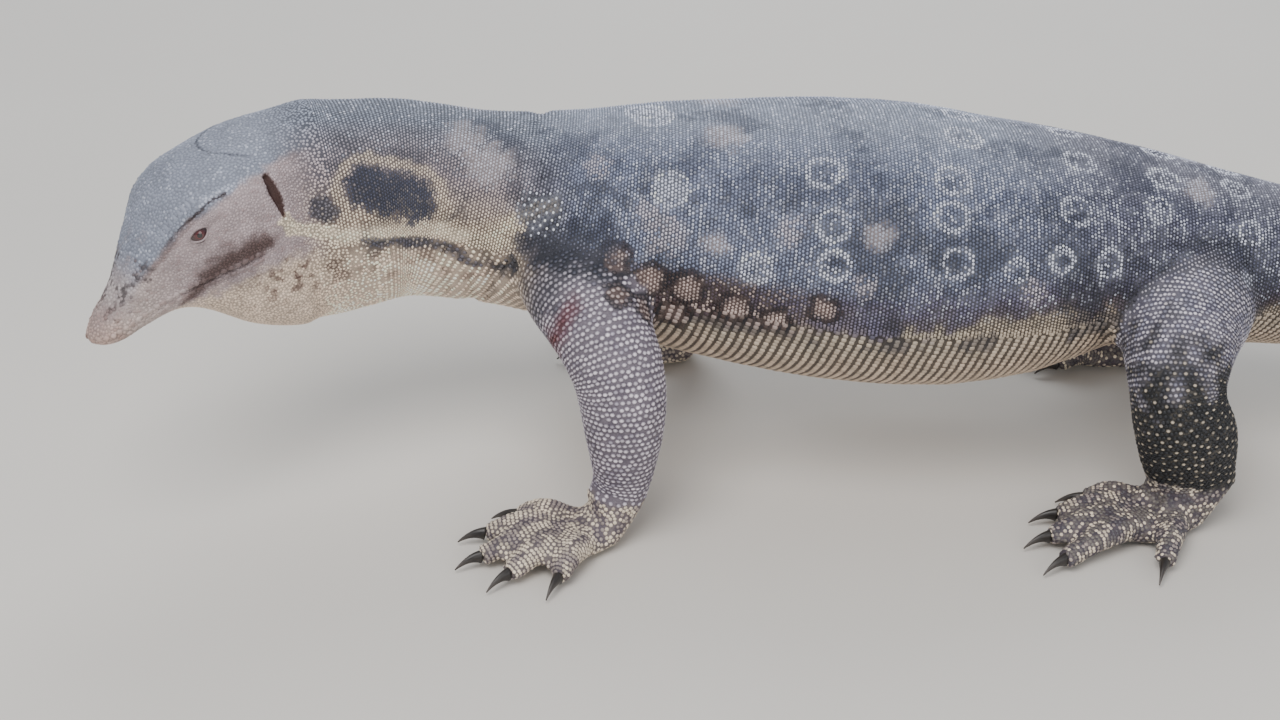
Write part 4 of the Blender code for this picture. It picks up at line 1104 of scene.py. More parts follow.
def bare_skin_material():
    """Thin folded skin between the scales: matt, a little darker, with fine creases."""
    made, tree, shader = new_material("reptile skin, matt")
    place = add_node(tree, "ShaderNodeTexCoord").outputs["Object"]
    rim = add_node(tree, "ShaderNodeAttribute", attribute_name="rim")
    # Granules of 0.8 mm between the scales
    granule = add_node(tree, "ShaderNodeTexVoronoi", {"Vector": place}, {"Scale": 1250.0})
    shade = add_node(tree, "ShaderNodeMapRange", {"Value": granule.outputs["Distance"]},
                     {"From Min": 0.0, "From Max": 0.7, "To Min": 1.15, "To Max": 0.75})
    tinted = add_node(tree, "ShaderNodeVectorMath", {0: rim.outputs["Color"], "Scale": shade.outputs["Result"]},
                      operation="SCALE")
    bump = add_node(tree, "ShaderNodeBump", {"Height": granule.outputs["Distance"]},
                    {"Strength": 0.5, "Distance": 0.0004}, invert=True)
    rough = add_node(tree, "ShaderNodeMapRange", {"Value": granule.outputs["Distance"]},
                     {"To Min": 0.60, "To Max": 0.75})
    tree.links.new(tinted.outputs["Vector"], shader.inputs["Base Color"])
    tree.links.new(rough.outputs["Result"], shader.inputs["Roughness"])
    tree.links.new(bump.outputs["Normal"], shader.inputs["Normal"])
    return made


def eye_material():
    """A wet eye: black round pupil, a thin bright edge round it, dark red-brown iris, under a clear film."""
    made, tree, shader = new_material("wet eye")
    place = add_node(tree, "ShaderNodeAttribute", attribute_name="gaze")
    parts = add_node(tree, "ShaderNodeSeparateXYZ", {"Vector": place.outputs["Vector"]})
    ring = add_node(tree, "ShaderNodeCombineXYZ", {"X": parts.outputs["X"], "Y": parts.outputs["Y"]})
    away = add_node(tree, "ShaderNodeVectorMath", {0: ring.outputs["Vector"]}, operation="LENGTH")
    streak = add_node(tree, "ShaderNodeTexNoise", {"Vector": place.outputs["Vector"]},
                      {"Scale": 9.0, "Detail": 4.0})
    wobble = add_node(tree, "ShaderNodeMath", {0: streak.outputs["Fac"]}, {1: 0.05}, operation="MULTIPLY")
    radius = add_node(tree, "ShaderNodeMath", {0: away.outputs["Value"], 1: wobble.outputs["Value"]},
                      operation="ADD")
    rings = add_node(tree, "ShaderNodeValToRGB", {"Fac": radius.outputs["Value"]})
    iris = colour("iris")
    stops = [(0.0, rgb("#060404")), (0.235, rgb("#060404")), (0.255, iris * 2.6), (0.29, iris * 1.7),
             (0.50, iris), (0.62, iris * 0.45), (0.75, rgb("#1a0f0d"))]
    elements = rings.color_ramp.elements
    while len(elements) < len(stops):
        elements.new(0.5)
    for element, (place_at, shade) in zip(elements, stops):
        element.position = place_at
        element.color = (*shade, 1)
    tree.links.new(rings.outputs["Color"], shader.inputs["Base Color"])
    shader.inputs["Roughness"].default_value = 0.12
    shader.inputs["Coat Weight"].default_value = 1.0
    shader.inputs["Coat Roughness"].default_value = 0.03
    return made


def claw_material():
    """Dark horn, grown in length: fine streaks along the claw and a worn, paler tip."""
    made, tree, shader = new_material("claw horn, worn")
    along = add_node(tree, "ShaderNodeAttribute", attribute_name="grown")
    streak = add_node(tree, "ShaderNodeTexNoise", {"Vector": along.outputs["Vector"]},
                      {"Scale": 6.0, "Detail": 3.0})
    parts = add_node(tree, "ShaderNodeSeparateXYZ", {"Vector": along.outputs["Vector"]})
    shades = add_node(tree, "ShaderNodeValToRGB", {"Fac": parts.outputs["Z"]})
    elements = shades.color_ramp.elements
    elements[0].color = (*colour("horn"), 1)
    elements[0].position = 0.35
    elements[1].color = (*(colour("horn") * 3.2), 1)
    light = add_node(tree, "ShaderNodeMapRange", {"Value": streak.outputs["Fac"]},
                     {"From Min": 0.3, "From Max": 0.7, "To Min": 0.7, "To Max": 1.4})
    tinted = add_node(tree, "ShaderNodeVectorMath",
                      {0: shades.outputs["Color"], "Scale": light.outputs["Result"]}, operation="SCALE")
    bump = add_node(tree, "ShaderNodeBump", {"Height": streak.outputs["Fac"]},
                    {"Strength": 0.3, "Distance": 0.0002})
    rough = add_node(tree, "ShaderNodeMapRange", {"Value": streak.outputs["Fac"]},
                     {"To Min": 0.25, "To Max": 0.5})
    tree.links.new(tinted.outputs["Vector"], shader.inputs["Base Color"])
    tree.links.new(rough.outputs["Result"], shader.inputs["Roughness"])
    tree.links.new(bump.outputs["Normal"], shader.inputs["Normal"])
    return made


def named_material(name, make):
    return bpy.data.materials.get(name) or make()


# The skin

def head_shell():
    """A plain closed head from its rails, as points and faces."""
    rings, sides = [], 0
    for share in 1 - (1 - np.linspace(0, 1, 40)) ** 1.25:
        at = HEAD_START + (1 - HEAD_START) * share
        centre, _, left, up = head_frame(at)
        section = head_section(at)
        sides = len(section)
        rings.append(centre + left * section[:, :1] + up * section[:, 1:])
    return np.concatenate(rings), loft_faces(len(rings), sides)


def flesh_block(grow):
    """All the solids of flesh in one mesh, each grown a little so that neighbours overlap."""
    block = bmesh.new()
    for name in FLESH:
        shape = bmesh.new()
        if name == "head":
            shape.from_mesh(mesh_from("head_shell", *head_shell()))
            bmesh.ops.recalc_face_normals(shape, faces=shape.faces)
        else:
            shape.from_mesh(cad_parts[name].data)
            bmesh.ops.remove_doubles(shape, verts=shape.verts, dist=0.000001)
        shape.normal_update()
        for vertex in shape.verts:
            vertex.co += vertex.normal * grow
        part = bpy.data.meshes.new(name + "_grown")
        shape.to_mesh(part)
        shape.free()
        block.from_mesh(part)
        bpy.data.meshes.remove(part)
    mesh = bpy.data.meshes.new("flesh_block")
    block.to_mesh(mesh)
    block.free()
    return mesh


def voxel_skin(mesh, voxel):
    block = new_object("flesh_block", mesh)
    step = block.modifiers.new("one skin", "REMESH")
    step.mode = "VOXEL"
    step.voxel_size = voxel
    result = evaluated_mesh(block)
    remove_object(block)
    return result


def smooth_points(mesh, rounds, chosen=None, shrink=False):
    """Evens out the surface without shrinking it, at the chosen vertices."""
    points = read_points(mesh)
    ends = np.empty(len(mesh.edges) * 2, np.int64)
    mesh.edges.foreach_get("vertices", ends)
    a, b = ends.reshape(-1, 2).T
    count = len(points)
    degree = np.maximum(np.bincount(a, minlength=count) + np.bincount(b, minlength=count), 1)
    weight = np.ones(count) if chosen is None else chosen.astype(float)
    for number in range(rounds * (1 if shrink else 2)):
        mean = np.stack([
            np.bincount(a, points[b, i], count) + np.bincount(b, points[a, i], count) for i in range(3)
        ], axis=1) / degree[:, None]
        step = 0.5 if shrink or number % 2 == 0 else -0.53
        points += (mean - points) * (step * weight)[:, None]
    write_points(mesh, points)


def refine(mesh, inside, cuts):
    """Divides the faces whose corners are all chosen."""
    shape = bmesh.new()
    shape.from_mesh(mesh)
    shape.verts.ensure_lookup_table()
    faces = [face for face in shape.faces if all(inside[v.index] for v in face.verts)]
    edges = list({edge for face in faces for edge in face.edges})
    bmesh.ops.subdivide_edges(shape, edges=edges, cuts=cuts, use_grid_fill=True)
    shape.to_mesh(mesh)
    shape.free()


def in_head(points, slack=0.0):
    return (points - BODY_TUBE.centres[0]) @ BODY_TUBE.ahead[0] < slack


def near_detail(points):
    """Round the eyes, the ears and the line of the mouth, where the head needs finer faces."""
    near = near_line(points, EAR_SLIT) < 0.010
    for side in (1, -1):
        lips = mouth_path(side)
        near |= np.linalg.norm(points - eye_place(side)[0], axis=1) < 0.018
        near |= line_distance(points, lips, np.ones(len(lips))) < 0.0045
        near |= np.linalg.norm(points - side_point(*NOSTRIL, side), axis=1) < 0.006
    return near


def in_feet(points):
    low = points[:, 2] < 0.036
    return low & (points[:, 0] < BODY_TUBE.place(np.array([1.0]), np.array([0.0]))[0, 0] - 0.02)


def press(points, normals, path, width, depth):
    """Presses a line of places into the surface, or raises it where depth is below 0."""
    path = np.asarray(path)
    reach = 3 * np.max(width)
    low, high = path.min(0) - reach, path.max(0) + reach
    near = np.nonzero(((points > low) & (points < high)).all(1))[0]
    if len(near) == 0:
        return
    widths = np.broadcast_to(width, len(path))
    away = np.linalg.norm(points[near] - path[0], axis=1) / widths[0]
    if len(path) > 1:
        away = line_distance(points[near], path, widths)
    points[near] -= normals[near] * (depth * np.exp(-(away ** 2)))[:, None]


def mouth_path(side, lift=0.0, start=0.27):
    """Places along the line between the lips on one side, lifted above it or below."""
    places = []
    for t in np.linspace(0, 1, 26):
        share = start + (1 - start) * math.sin(math.pi / 2 * t)
        wide, high = rail_at("lip", share)
        taper = snout_taper(share)
        places.append(head_point(share, side * wide * taper, SNOUT_TIP_Z * (1 - taper) + high * taper + lift))
    return np.array(places)


def sculpt_head(points, normals):
    """Lips, brows, nostrils, ears and the folds of the throat."""
    dent = partial(press, points, normals)
    ahead, _, up = head_axes()
    for side in (1, -1):
        dent(mouth_path(side), 0.0011, 0.0017)
        dent(mouth_path(side, 0.0030), 0.0022, -0.0006)
        dent(mouth_path(side, -0.0028), 0.0020, -0.0005)
        brow, crease, ear = (marked_line(line, side) for line in (BROW_LINE, CROWN_CREASE, EAR_SLIT))
        dent(brow, 0.0010, 0.0009)
        dent(brow + up * 0.0030, 0.0026, -0.0017)
        dent(crease, 0.0014, 0.0011)
        dent(crease + ahead * 0.003, 0.0026, -0.0006)
        dent(ear, 0.0062, -0.0018)
        dent(ear, np.array(EAR_HALF_WIDTHS) * 1.05, 0.0062)
        nostril = side_point(*NOSTRIL, side)
        dent([nostril], 0.0042, -0.0009)
        dent([nostril - ahead * 0.0009, nostril + ahead * 0.0009], 0.0013, 0.0030)
        dent([side_point(0.22, -0.020, side), side_point(0.34, -0.012, side)], 0.014, -0.0022)
        for number in range(5):
            drop = -0.030 - 0.012 * number
            fold = [side_point(share, drop * (1 - 0.35 * share) + 0.004 * share, side)
                    for share in (0.02, 0.14, 0.26, 0.38)]
            dent(fold, 0.0022, 0.0007)


BodyFold = namedtuple("BodyFold", "places width depth")
BODY_FOLDS = [
    BodyFold([(0.150, 5), (0.153, 20), (0.160, 45), (0.166, 62)], 0.0050, 0.0030),
    BodyFold([(0.190, 72), (0.192, 84), (0.194, 100)], 0.0050, 0.0034),
    BodyFold([(0.206, 76), (0.210, 88), (0.212, 98)], 0.0036, 0.0020),
    BodyFold([(0.118, 128), (0.128, 146), (0.130, 170)], 0.0050, 0.0032),
    BodyFold([(0.100, 112), (0.110, 128), (0.112, 150)], 0.0040, 0.0022),
    BodyFold([(0.1556, 105), (0.1442, 120), (0.142, 150)], 0.0055, 0.0036),
    BodyFold([(0.226, 104), (0.240, 116), (0.252, 130)], 0.0050, 0.0026),
    BodyFold([(0.6430, 72.7), (0.6280, 82), (0.6133, 90.3)], 0.0062, 0.0042),
    BodyFold([(0.6476, 63.3), (0.6728, 61.1), (0.6979, 58.3)], 0.0058, 0.0036),
    BodyFold([(0.7025, 59.4), (0.7048, 73)], 0.0050, 0.0032),
    BodyFold([(0.580, 78), (0.592, 92), (0.600, 108)], 0.0050, 0.0026),
    BodyFold([(0.560, 82), (0.568, 94), (0.574, 106)], 0.0042, 0.0016),
    BodyFold([(0.020, 118), (0.060, 124), (0.100, 128)], 0.0040, 0.0014),
    BodyFold([(0.010, 136), (0.060, 142), (0.110, 146)], 0.0045, 0.0016),
    BodyFold([(0.300, 108), (0.400, 112), (0.520, 108)], 0.0120, 0.0014),
    BodyFold([(0.012, 35), (0.016, 62), (0.010, 92)], 0.0060, 0.0014),
]


def sculpt_body(points, normals):
    """Creases at the neck, shoulders and groins, and the soft unevenness of a heavy body."""
    for fold in BODY_FOLDS:
        for side in (1, -1):
            press(points, normals, marked_line(fold.places, side), fold.width, fold.depth)
    uneven = field(points, 0.075, 51) * 0.0016 + field(points, 0.028, 52) * 0.0005
    uneven *= ease(0.02, 0.09, points[:, 2])
    points += normals * uneven[:, None]


def root_weight(points):
    """1 where a limb leaves the body, so that the corner there is rounded off, and 0 away from it."""
    weight = np.zeros(len(points))
    for limb in LIMBS:
        joints, _ = limb_joints(limb)
        away = np.linalg.norm(points - (joints[1] * 0.6 + joints[2] * 0.4), axis=1)
        weight = np.maximum(weight, 1 - ease(0.045, 0.085, away))
    return weight


def eye_axes(side):
    """The eyeball's centre, its gaze, and the directions to the nose and to the brow across the gaze."""
    centre, out = eye_place(side)
    forward = head_axes()[0]
    along = unit(forward - out * (forward @ out))
    return centre, out, along, np.cross(along, out) * side


def lid_spread(c, s):
    """How far from the gaze the edge of the lids is, towards a direction round it: an almond."""
    high = np.where(np.asarray(s) > 0, math.radians(26), math.radians(25))
    return (np.abs(c / math.radians(50)) ** 1.7 + np.abs(s / high) ** 1.7) ** (-1 / 1.7)


def beyond_lids(points, side):
    """For each point: how far beyond the edge of the lids it is round the eyeball, and how far out."""
    centre, out, along, across = eye_axes(side)
    offset = points - centre
    distance = np.linalg.norm(offset, axis=1)
    straight, c, s = offset @ out / distance, offset @ along, offset @ across
    flat = np.maximum(np.hypot(c, s), 1e-9)
    return np.arccos(np.clip(straight, -1, 1)) - lid_spread(c / flat, s / flat), distance


# Across the lid: angle beyond its edge, height over the eyeball, share that follows the face, height over it
LID_PROFILE = (
    (-0.10, -0.0012, 0.0, 0.0), (-0.03, 0.0000, 0.0, 0.0), (0.00, 0.0006, 0.0, 0.0), (0.05, 0.0010, 0.0, 0.0),
    (0.12, 0.0011, 0.2, 0.0003), (0.20, 0.0011, 0.5, 0.0004), (0.30, 0.0010, 0.85, 0.0003),
    (0.42, 0.0010, 1.0, 0.0001), (0.52, 0.0010, 1.0, -0.0012), (0.30, -0.0030, 0.0, 0.0),
)


def lid_rings(side, tree):
    """Both lids as one band of sections round the eye, from the eyeball out to the face."""
    centre, out, along, across = eye_axes(side)
    rings = []
    for turn in np.linspace(0, 2 * math.pi, 84, endpoint=False):
        c, s = math.cos(turn), math.sin(turn)
        heavy = 1.5 if s > 0 else 1.0
        section = []
        for past, lift, on_face, over in LID_PROFILE:
            reach = float(lid_spread(c, s)) + past
            way = out * math.cos(reach) + (along * c + across * s) * math.sin(reach)
            face = tree.ray_cast(centre, way)[3] or EYE_RADIUS
            globe = EYE_RADIUS + (lift * heavy if lift > 0 else lift)
            section.append(centre + way * (globe * (1 - on_face) + (face + over) * on_face))
        rings.append(section)
    return np.array(rings)


def set_in_eyes(mesh):
    """Joins the lids to the skin and sinks the skin under them and behind the eyeballs."""
    points = read_points(mesh)
    tree = BVHTree.FromPolygons(points.tolist(), [face.vertices[:] for face in mesh.polygons])
    bands = [lid_rings(side, tree) for side in (1, -1)]
    for side in (1, -1):
        centre = eye_place(side)[0]
        past, distance = beyond_lids(points, side)
        sunk = (1 - ease(0.22, 0.34, past)) * (distance < 0.022)
        goal = centre + (points - centre) * ((EYE_RADIUS - 0.0032) / distance)[:, None]
        points += (goal - points) * sunk[:, None]
    write_points(mesh, points)
    shape = bmesh.new()
    shape.from_mesh(mesh)
    for rings in bands:
        band = outward_mesh("lids", rings.reshape(-1, 3), loft_faces(len(rings), rings.shape[1], closed=True))
        shape.from_mesh(band)
        bpy.data.meshes.remove(band)
    shape.to_mesh(mesh)
    shape.free()


class MONITOR_OT_skin(bpy.types.Operator):
    """One seamless skin over head, body, tail, legs and feet, with lips, lids, folds and markings"""
    bl_idname = "monitor.skin"
    bl_label = "Make the Skin"

    def execute(self, context):
        grow = 0.0006
        mesh = voxel_skin(flesh_block(grow), sizes().voxel)
        smooth_points(mesh, 3)
        smooth_points(mesh, 14, root_weight(read_points(mesh)), shrink=True)
        refine(mesh, in_feet(read_points(mesh)), 1)
        refine(mesh, in_head(read_points(mesh)), 2)
        refine(mesh, near_detail(read_points(mesh)), 1)
        points = read_points(mesh)
        smooth_points(mesh, 10, in_head(points, 0.006) | in_feet(points))
        points, normals = read_points(mesh), read_normals(mesh)
        points -= normals * (grow + sizes().coat_depth)
        sculpt_head(points, normals)
        sculpt_body(points, normals)
        points[:, 2] = np.maximum(points[:, 2], 0.0004)
        write_points(mesh, points)
        set_in_eyes(mesh)
        tip, rim = Coat(read_points(mesh), read_normals(mesh), sizes().seed).colours()
        write_attribute(mesh, "rim", "FLOAT_COLOR", np.clip(mixed(rim, tip, 0.15), 0, 1))
        mesh.shade_smooth()
        mesh.materials.clear()
        mesh.materials.append(named_material("reptile skin, matt", bare_skin_material))
        skin = new_object("skin", mesh)
        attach(skin, "root")
        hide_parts(*FLESH)
        return {"FINISHED"}


# Scales

def bead_shape(low=0.25, shoulder_rise=0.60):
    """A six-sided bead of 22 triangles: a sunk base, a shoulder and a tip a little behind the middle."""
    turns = np.radians(30 + 60 * np.arange(6))
    base = np.stack([0.5 * np.cos(turns), 0.5 * np.sin(turns), np.full(6, -0.45)], axis=1)
    shoulder = np.stack([0.40 * np.cos(turns) + 0.03, 0.40 * np.sin(turns), np.full(6, 0.55)], axis=1)
    points = np.concatenate([base, shoulder, [(0.06, 0, 1.0)]])
    faces = [(5, 4, 3, 2, 1, 0)]
    faces += [(i, (i + 1) % 6, 6 + (i + 1) % 6, 6 + i) for i in range(6)]
    faces += [(6 + i, 6 + (i + 1) % 6, 12) for i in range(6)]
    side = np.array([0, 1, 0, 0, 1, 0])
    return points, faces, np.concatenate([low * side, shoulder_rise + 0.15 * side, [1.0]])


def cone_shape():
    """A low six-sided bead of 10 triangles, for the parts where the scales are smallest."""
    turns = np.radians(30 + 60 * np.arange(6))
    base = np.stack([0.60 * np.cos(turns), 0.60 * np.sin(turns), np.full(6, -0.45)], axis=1)
    points = np.concatenate([base, [(0.05, 0, 1.0)]])
    faces = [(5, 4, 3, 2, 1, 0)] + [(i, (i + 1) % 6, 6) for i in range(6)]
    return points, faces, np.array([-0.30, -0.10, -0.30, -0.30, -0.10, -0.30, 1.70])


def plate_shape():
    """A rounded oblong plate of 30 triangles with a nearly flat top."""
    turns = np.radians(22.5 + 45 * np.arange(8))
    square = np.stack([power_of(np.cos(turns), 0.6), power_of(np.sin(turns), 0.6)], axis=1)
    base = np.concatenate([square * 0.5, np.full((8, 1), -0.45)], axis=1)
    top = np.concatenate([square * (0.37, 0.42), np.full((8, 1), 0.75)], axis=1)
    points = np.concatenate([base, top, [(0.04, 0, 1.0)]])
    faces = [tuple(range(8))[::-1]]
    faces += [(i, (i + 1) % 8, 8 + (i + 1) % 8, 8 + i) for i in range(8)]
    faces += [(8 + i, 8 + (i + 1) % 8, 16) for i in range(8)]
    side = (np.abs(square[:, 1]) > np.abs(square[:, 0])).astype(float)
    return points, faces, np.concatenate([0.55 * side, 0.55 + 0.35 * side, [1.0]])


def template(name, points, faces, rise):
    mesh = mesh_from(name, points, faces)
    write_attribute(mesh, "rise", "FLOAT", rise)
    write_attribute(mesh, "patch", "FLOAT_VECTOR", points * (1, 1, 0))
    made = new_object(name, mesh)
    made.hide_render = True
    return made


def scale_tree():
    """Sets one scale on each point, turned and sized by the point's own values, as plain mesh."""
    tree = bpy.data.node_groups.new("scales over the skin", "GeometryNodeTree")
    face = tree.interface
    for name, kind in (("Geometry", "NodeSocketGeometry"), ("Scale Shape", "NodeSocketObject"),
                       ("Height", "NodeSocketFloat"), ("Bake Patch", "NodeSocketFloat"),
                       ("Finish", "NodeSocketMaterial")):
        face.new_socket(name, in_out="INPUT", socket_type=kind)
    face.new_socket("Geometry", in_out="OUTPUT", socket_type="NodeSocketGeometry")
    given = add_node(tree, "NodeGroupInput").outputs
    vectors = {
        name: add_node(tree, "GeometryNodeInputNamedAttribute", values={"Name": name}, data_type="FLOAT_VECTOR")
        for name in ("out", "along", "spread", "root", "patch")
    }
    reads = {name: node.outputs["Attribute"] for name, node in vectors.items()}
    turn = add_node(tree, "FunctionNodeAxesToRotation",
                    {"Primary Axis": reads["out"], "Secondary Axis": reads["along"]},
                    primary_axis="Z", secondary_axis="X")
    tall = add_node(tree, "ShaderNodeCombineXYZ", {"Z": given["Height"]}, {"X": 1.0, "Y": 1.0})
    size = add_node(tree, "ShaderNodeVectorMath", {0: reads["spread"], 1: tall.outputs[0]}, operation="MULTIPLY")
    shape = add_node(tree, "GeometryNodeObjectInfo", {"Object": given["Scale Shape"]})
    dots = add_node(tree, "GeometryNodeMeshToPoints", {"Mesh": given["Geometry"]})
    placed = add_node(tree, "GeometryNodeInstanceOnPoints", {
        "Points": dots.outputs["Points"], "Instance": shape.outputs["Geometry"],
        "Rotation": turn.outputs["Rotation"], "Scale": size.outputs["Vector"],
    })
    real = add_node(tree, "GeometryNodeRealizeInstances", {"Geometry": placed.outputs["Instances"]})
    local = add_node(tree, "ShaderNodeVectorMath", {0: reads["patch"], "Scale": given["Bake Patch"]},
                     operation="SCALE")
    on_map = add_node(tree, "ShaderNodeVectorMath", {0: reads["root"], 1: local.outputs["Vector"]},
                      operation="ADD")
    stored = add_node(tree, "GeometryNodeStoreNamedAttribute",
                      {"Geometry": real.outputs["Geometry"], "Value": on_map.outputs["Vector"]},
                      {"Name": "OFBake"}, data_type="FLOAT2", domain="CORNER")
    finished = add_node(tree, "GeometryNodeSetMaterial",
                        {"Geometry": stored.outputs["Geometry"], "Material": given["Finish"]})
    add_node(tree, "NodeGroupOutput", {"Geometry": finished.outputs["Geometry"]})
    return tree


def socket_name(tree, label):
    """The identifier of a tree's input, by its label."""
    return next(item.identifier for item in tree.interface.items_tree
                if item.in_out == "INPUT" and item.name == label)


Scales = namedtuple("Scales", "points normals along long wide tall row")


def joined(*groups):
    groups = [group for group in groups if len(group.points)]
    return Scales(*(np.concatenate(parts) for parts in zip(*groups)))


def chosen(group, keep):
    return Scales(*(part[keep] for part in group))


class Apart:
    """Keeps scales apart: takes a point only where none stands nearer than its reach."""

    def __init__(self, cell=0.005):
        self.cell, self.grid = cell, {}

    def take(self, point, reach):
        x, y, z = point
        i, j, k = int(x // self.cell), int(y // self.cell), int(z // self.cell)
        limit = reach * reach
        for a in (i - 1, i, i + 1):
            for b in (j - 1, j, j + 1):
                for c in (k - 1, k, k + 1):
                    for u, v, w in self.grid.get((a, b, c), ()):
                        if (u - x) ** 2 + (v - y) ** 2 + (w - z) ** 2 < limit:
                            return False
        self.grid.setdefault((i, j, k), []).append((x, y, z))
        return True

    def thin(self, group, share):
        """The scales of a group that have room, by a share of their own size."""
        reach = np.minimum(group.long, group.wide) * share
        kept = [self.take(tuple(point), far) for point, far in zip(group.points.tolist(), reach.tolist())]
        return chosen(group, np.array(kept, bool))


class Surface:
    """The finished skin, for rays and for points spread over it."""

    def __init__(self):
        mesh = bpy.data.objects["skin"].data
        mesh.calc_loop_triangles()
        corners = np.empty(len(mesh.loop_triangles) * 3, np.int32)
        mesh.loop_triangles.foreach_get("vertices", corners)
        self.corners = corners.reshape(-1, 3)
        self.points, self.normals = read_points(mesh), read_normals(mesh)
        self.tree = BVHTree.FromPolygons(self.points.tolist(), self.corners.tolist())

    def cast(self, starts, ways):
        """For each ray: where it meets the skin, the normal there, and how far that is."""
        hits = np.full((len(starts), 3), np.nan)
        normals = np.zeros((len(starts), 3))
        far = np.full(len(starts), np.inf)
        for i, (start, way) in enumerate(zip(starts.tolist(), ways.tolist())):
            hit, normal, face, distance = self.tree.ray_cast(start, way, 0.4)
            if hit is not None:
                hits[i], far[i] = hit, distance
                normals[i] = self.normals[self.corners[face]].mean(0)
        return hits, unit(normals), far

    def scatter(self, count, rng, weight):
        """Random places spread evenly by area times a weight for each vertex."""
        a, b, c = (self.points[self.corners[:, i]] for i in range(3))
        area = np.linalg.norm(np.cross(b - a, c - a), axis=1) * weight[self.corners].mean(1)
        picked = rng.choice(len(area), count, p=area / area.sum())
        u, v = rng.random((2, count))
        flip = u + v > 1
        u[flip], v[flip] = 1 - u[flip], 1 - v[flip]
        parts = np.stack([1 - u - v, u, v], axis=1)
        places = (self.points[self.corners[picked]] * parts[:, :, None]).sum(1)
        normals = (self.normals[self.corners[picked]] * parts[:, :, None]).sum(1)
        return places, unit(normals)


def row_places(tube, start, end, row_pitch, ring_pitch, rng, stray=0.06):
    """(distance, angle, length, width, row) of scales in staggered rows round a tube. The number in a row
    changes only where the scales would get too wide or too narrow, as rows do on a real animal."""
    rows = []
    count, number, key = 0, 0, start + row_pitch / 2
    turns = np.linspace(0, 2 * math.pi, 121)
    while key < end:
        ring = tube.place(np.full(121, key), turns)
        stretch = np.linalg.norm(tube.place(np.full(121, key - 0.001), turns) - ring, axis=1) / 0.001
        step = row_pitch / max(np.quantile(stretch, 0.85), 0.7)
        steps = np.concatenate([[0], np.cumsum(np.linalg.norm(np.diff(ring, axis=0), axis=1))])
        if not 0.93 < steps[-1] / max(count, 1) / ring_pitch < 1.07:
            count = max(round(steps[-1] / ring_pitch), 6)
        at = (np.arange(count) + 0.5 * (number % 2) + rng.normal(0, 0.07, count)) / count % 1
        angle = np.interp(at * steps[-1], steps, turns)
        long = np.interp(angle, turns, stretch) * step
        angle = np.where(angle > math.pi, angle - 2 * math.pi, angle)
        keys = key + rng.normal(0, stray, count) * step
        row = np.full(count, number)
        rows.append(np.stack([keys, angle, long, np.full(count, steps[-1] / count), row], axis=1))
        key += step
        number += 1
    return np.concatenate(rows)


def rows_on_skin(surface, tube, places, tall, slack):
    """Scales where rays from the tube's middle through the given places meet the skin."""
    key, angle, long, wide, row = places.T
    key = np.clip(key, tube.keys[0], tube.keys[-1])
    target = tube.place(key, angle)
    middle = tube.at(key, tube.centres)
    out = target - middle
    expected = np.linalg.norm(out, axis=1)
    start = middle + out * 0.35
    hits, normals, far = surface.cast(start, unit(out))
    miss = np.abs(far - expected * 0.65)
    good = (miss < slack + expected * 0.06) & ((normals * unit(out)).sum(1) > 0.25)
    ahead = tube.at(key, tube.ahead)
    along = unit(ahead - normals * (ahead * normals).sum(1)[:, None])
    group = Scales(hits, normals, along, long * 0.97, wide * 1.03, np.full(len(key), tall), row)
    return chosen(group, good)


def sector(places, low, high):
    degrees = np.degrees(np.abs(places[:, 1]))
    return places[(degrees >= low) & (degrees < high)]


def all_body_rows(surface, rng):
    size = sizes()
    belly_from = 101
    trunk = sector(row_places(BODY_TUBE, 0.0, 1.0, size.back_pitch, size.back_pitch, rng), 0, belly_from)
    belly = row_places(BODY_TUBE, 0.02, 1.0, size.belly_row, size.belly_pitch, rng, 0.012)
    belly = sector(belly, belly_from, 181)
    belly[:, 2] *= 0.80
    belly[:, 0] -= 0.020 * (np.abs(belly[:, 1]) - math.radians(belly_from)) * ease(0.05, 0.12, belly[:, 0])
    tail = row_places(BODY_TUBE, 1.0, 1.60, size.tail_pitch, size.tail_pitch * 0.92, rng)
    thin = row_places(BODY_TUBE, 1.60, 2.05, size.tail_pitch * 0.86, size.tail_pitch * 0.72, rng)
    return [
        rows_on_skin(surface, BODY_TUBE, belly, 0.7, 0.004),
        rows_on_skin(surface, BODY_TUBE, trunk, 0.62 + 0.38 * ease(0.10, 0.20, trunk[:, 0]), 0.004),
        rows_on_skin(surface, BODY_TUBE, tail, 0.8, 0.004),
        rows_on_skin(surface, BODY_TUBE, thin, 0.5, 0.003),
    ]


def all_limb_rows(surface, rng):
    size = sizes()
    groups = []
    for limb in LIMBS:
        tube = LIMB_TUBES[limb.name]
        start = np.interp(0.8, tube.joint_counts, tube.keys)
        end = np.interp(WRIST + 0.1, tube.joint_counts, tube.keys)
        pitch = size.leg_pitch * (0.82 if limb.kind == "hind" else 1.0)
        places = row_places(tube, start, end, pitch, pitch, rng, 0.11)
        groups.append(rows_on_skin(surface, tube, places, 1.05, 0.006))
        for number in range(1, 6):
            toe = TOE_TUBES[limb.name, number]
            places = row_places(toe, 0.006, toe.keys[-1], size.foot_pitch, size.foot_pitch, rng)
            groups.append(rows_on_skin(surface, toe, places, 0.7, 0.0025))
    return groups


def head_pitch_at(coat):
    """How far apart the head's scales are: plates on the crown and snout, granules on the cheeks."""
    size = sizes().head_pitch
    brow = np.interp(coat.share, RAIL_SHARES, HEAD_RAILS["brow"][1])
    top = ease(-0.003, 0.002, coat.high - brow)
    pitch = size * (0.88 + 0.16 * top + 0.12 * ease(0.55, 0.9, coat.share))
    back = 1 - ease(HEAD_START, 0.05, coat.share)
    return pitch * (1 - back) + sizes().back_pitch * 0.92 * back


SCATTERED_PLACES = 380000


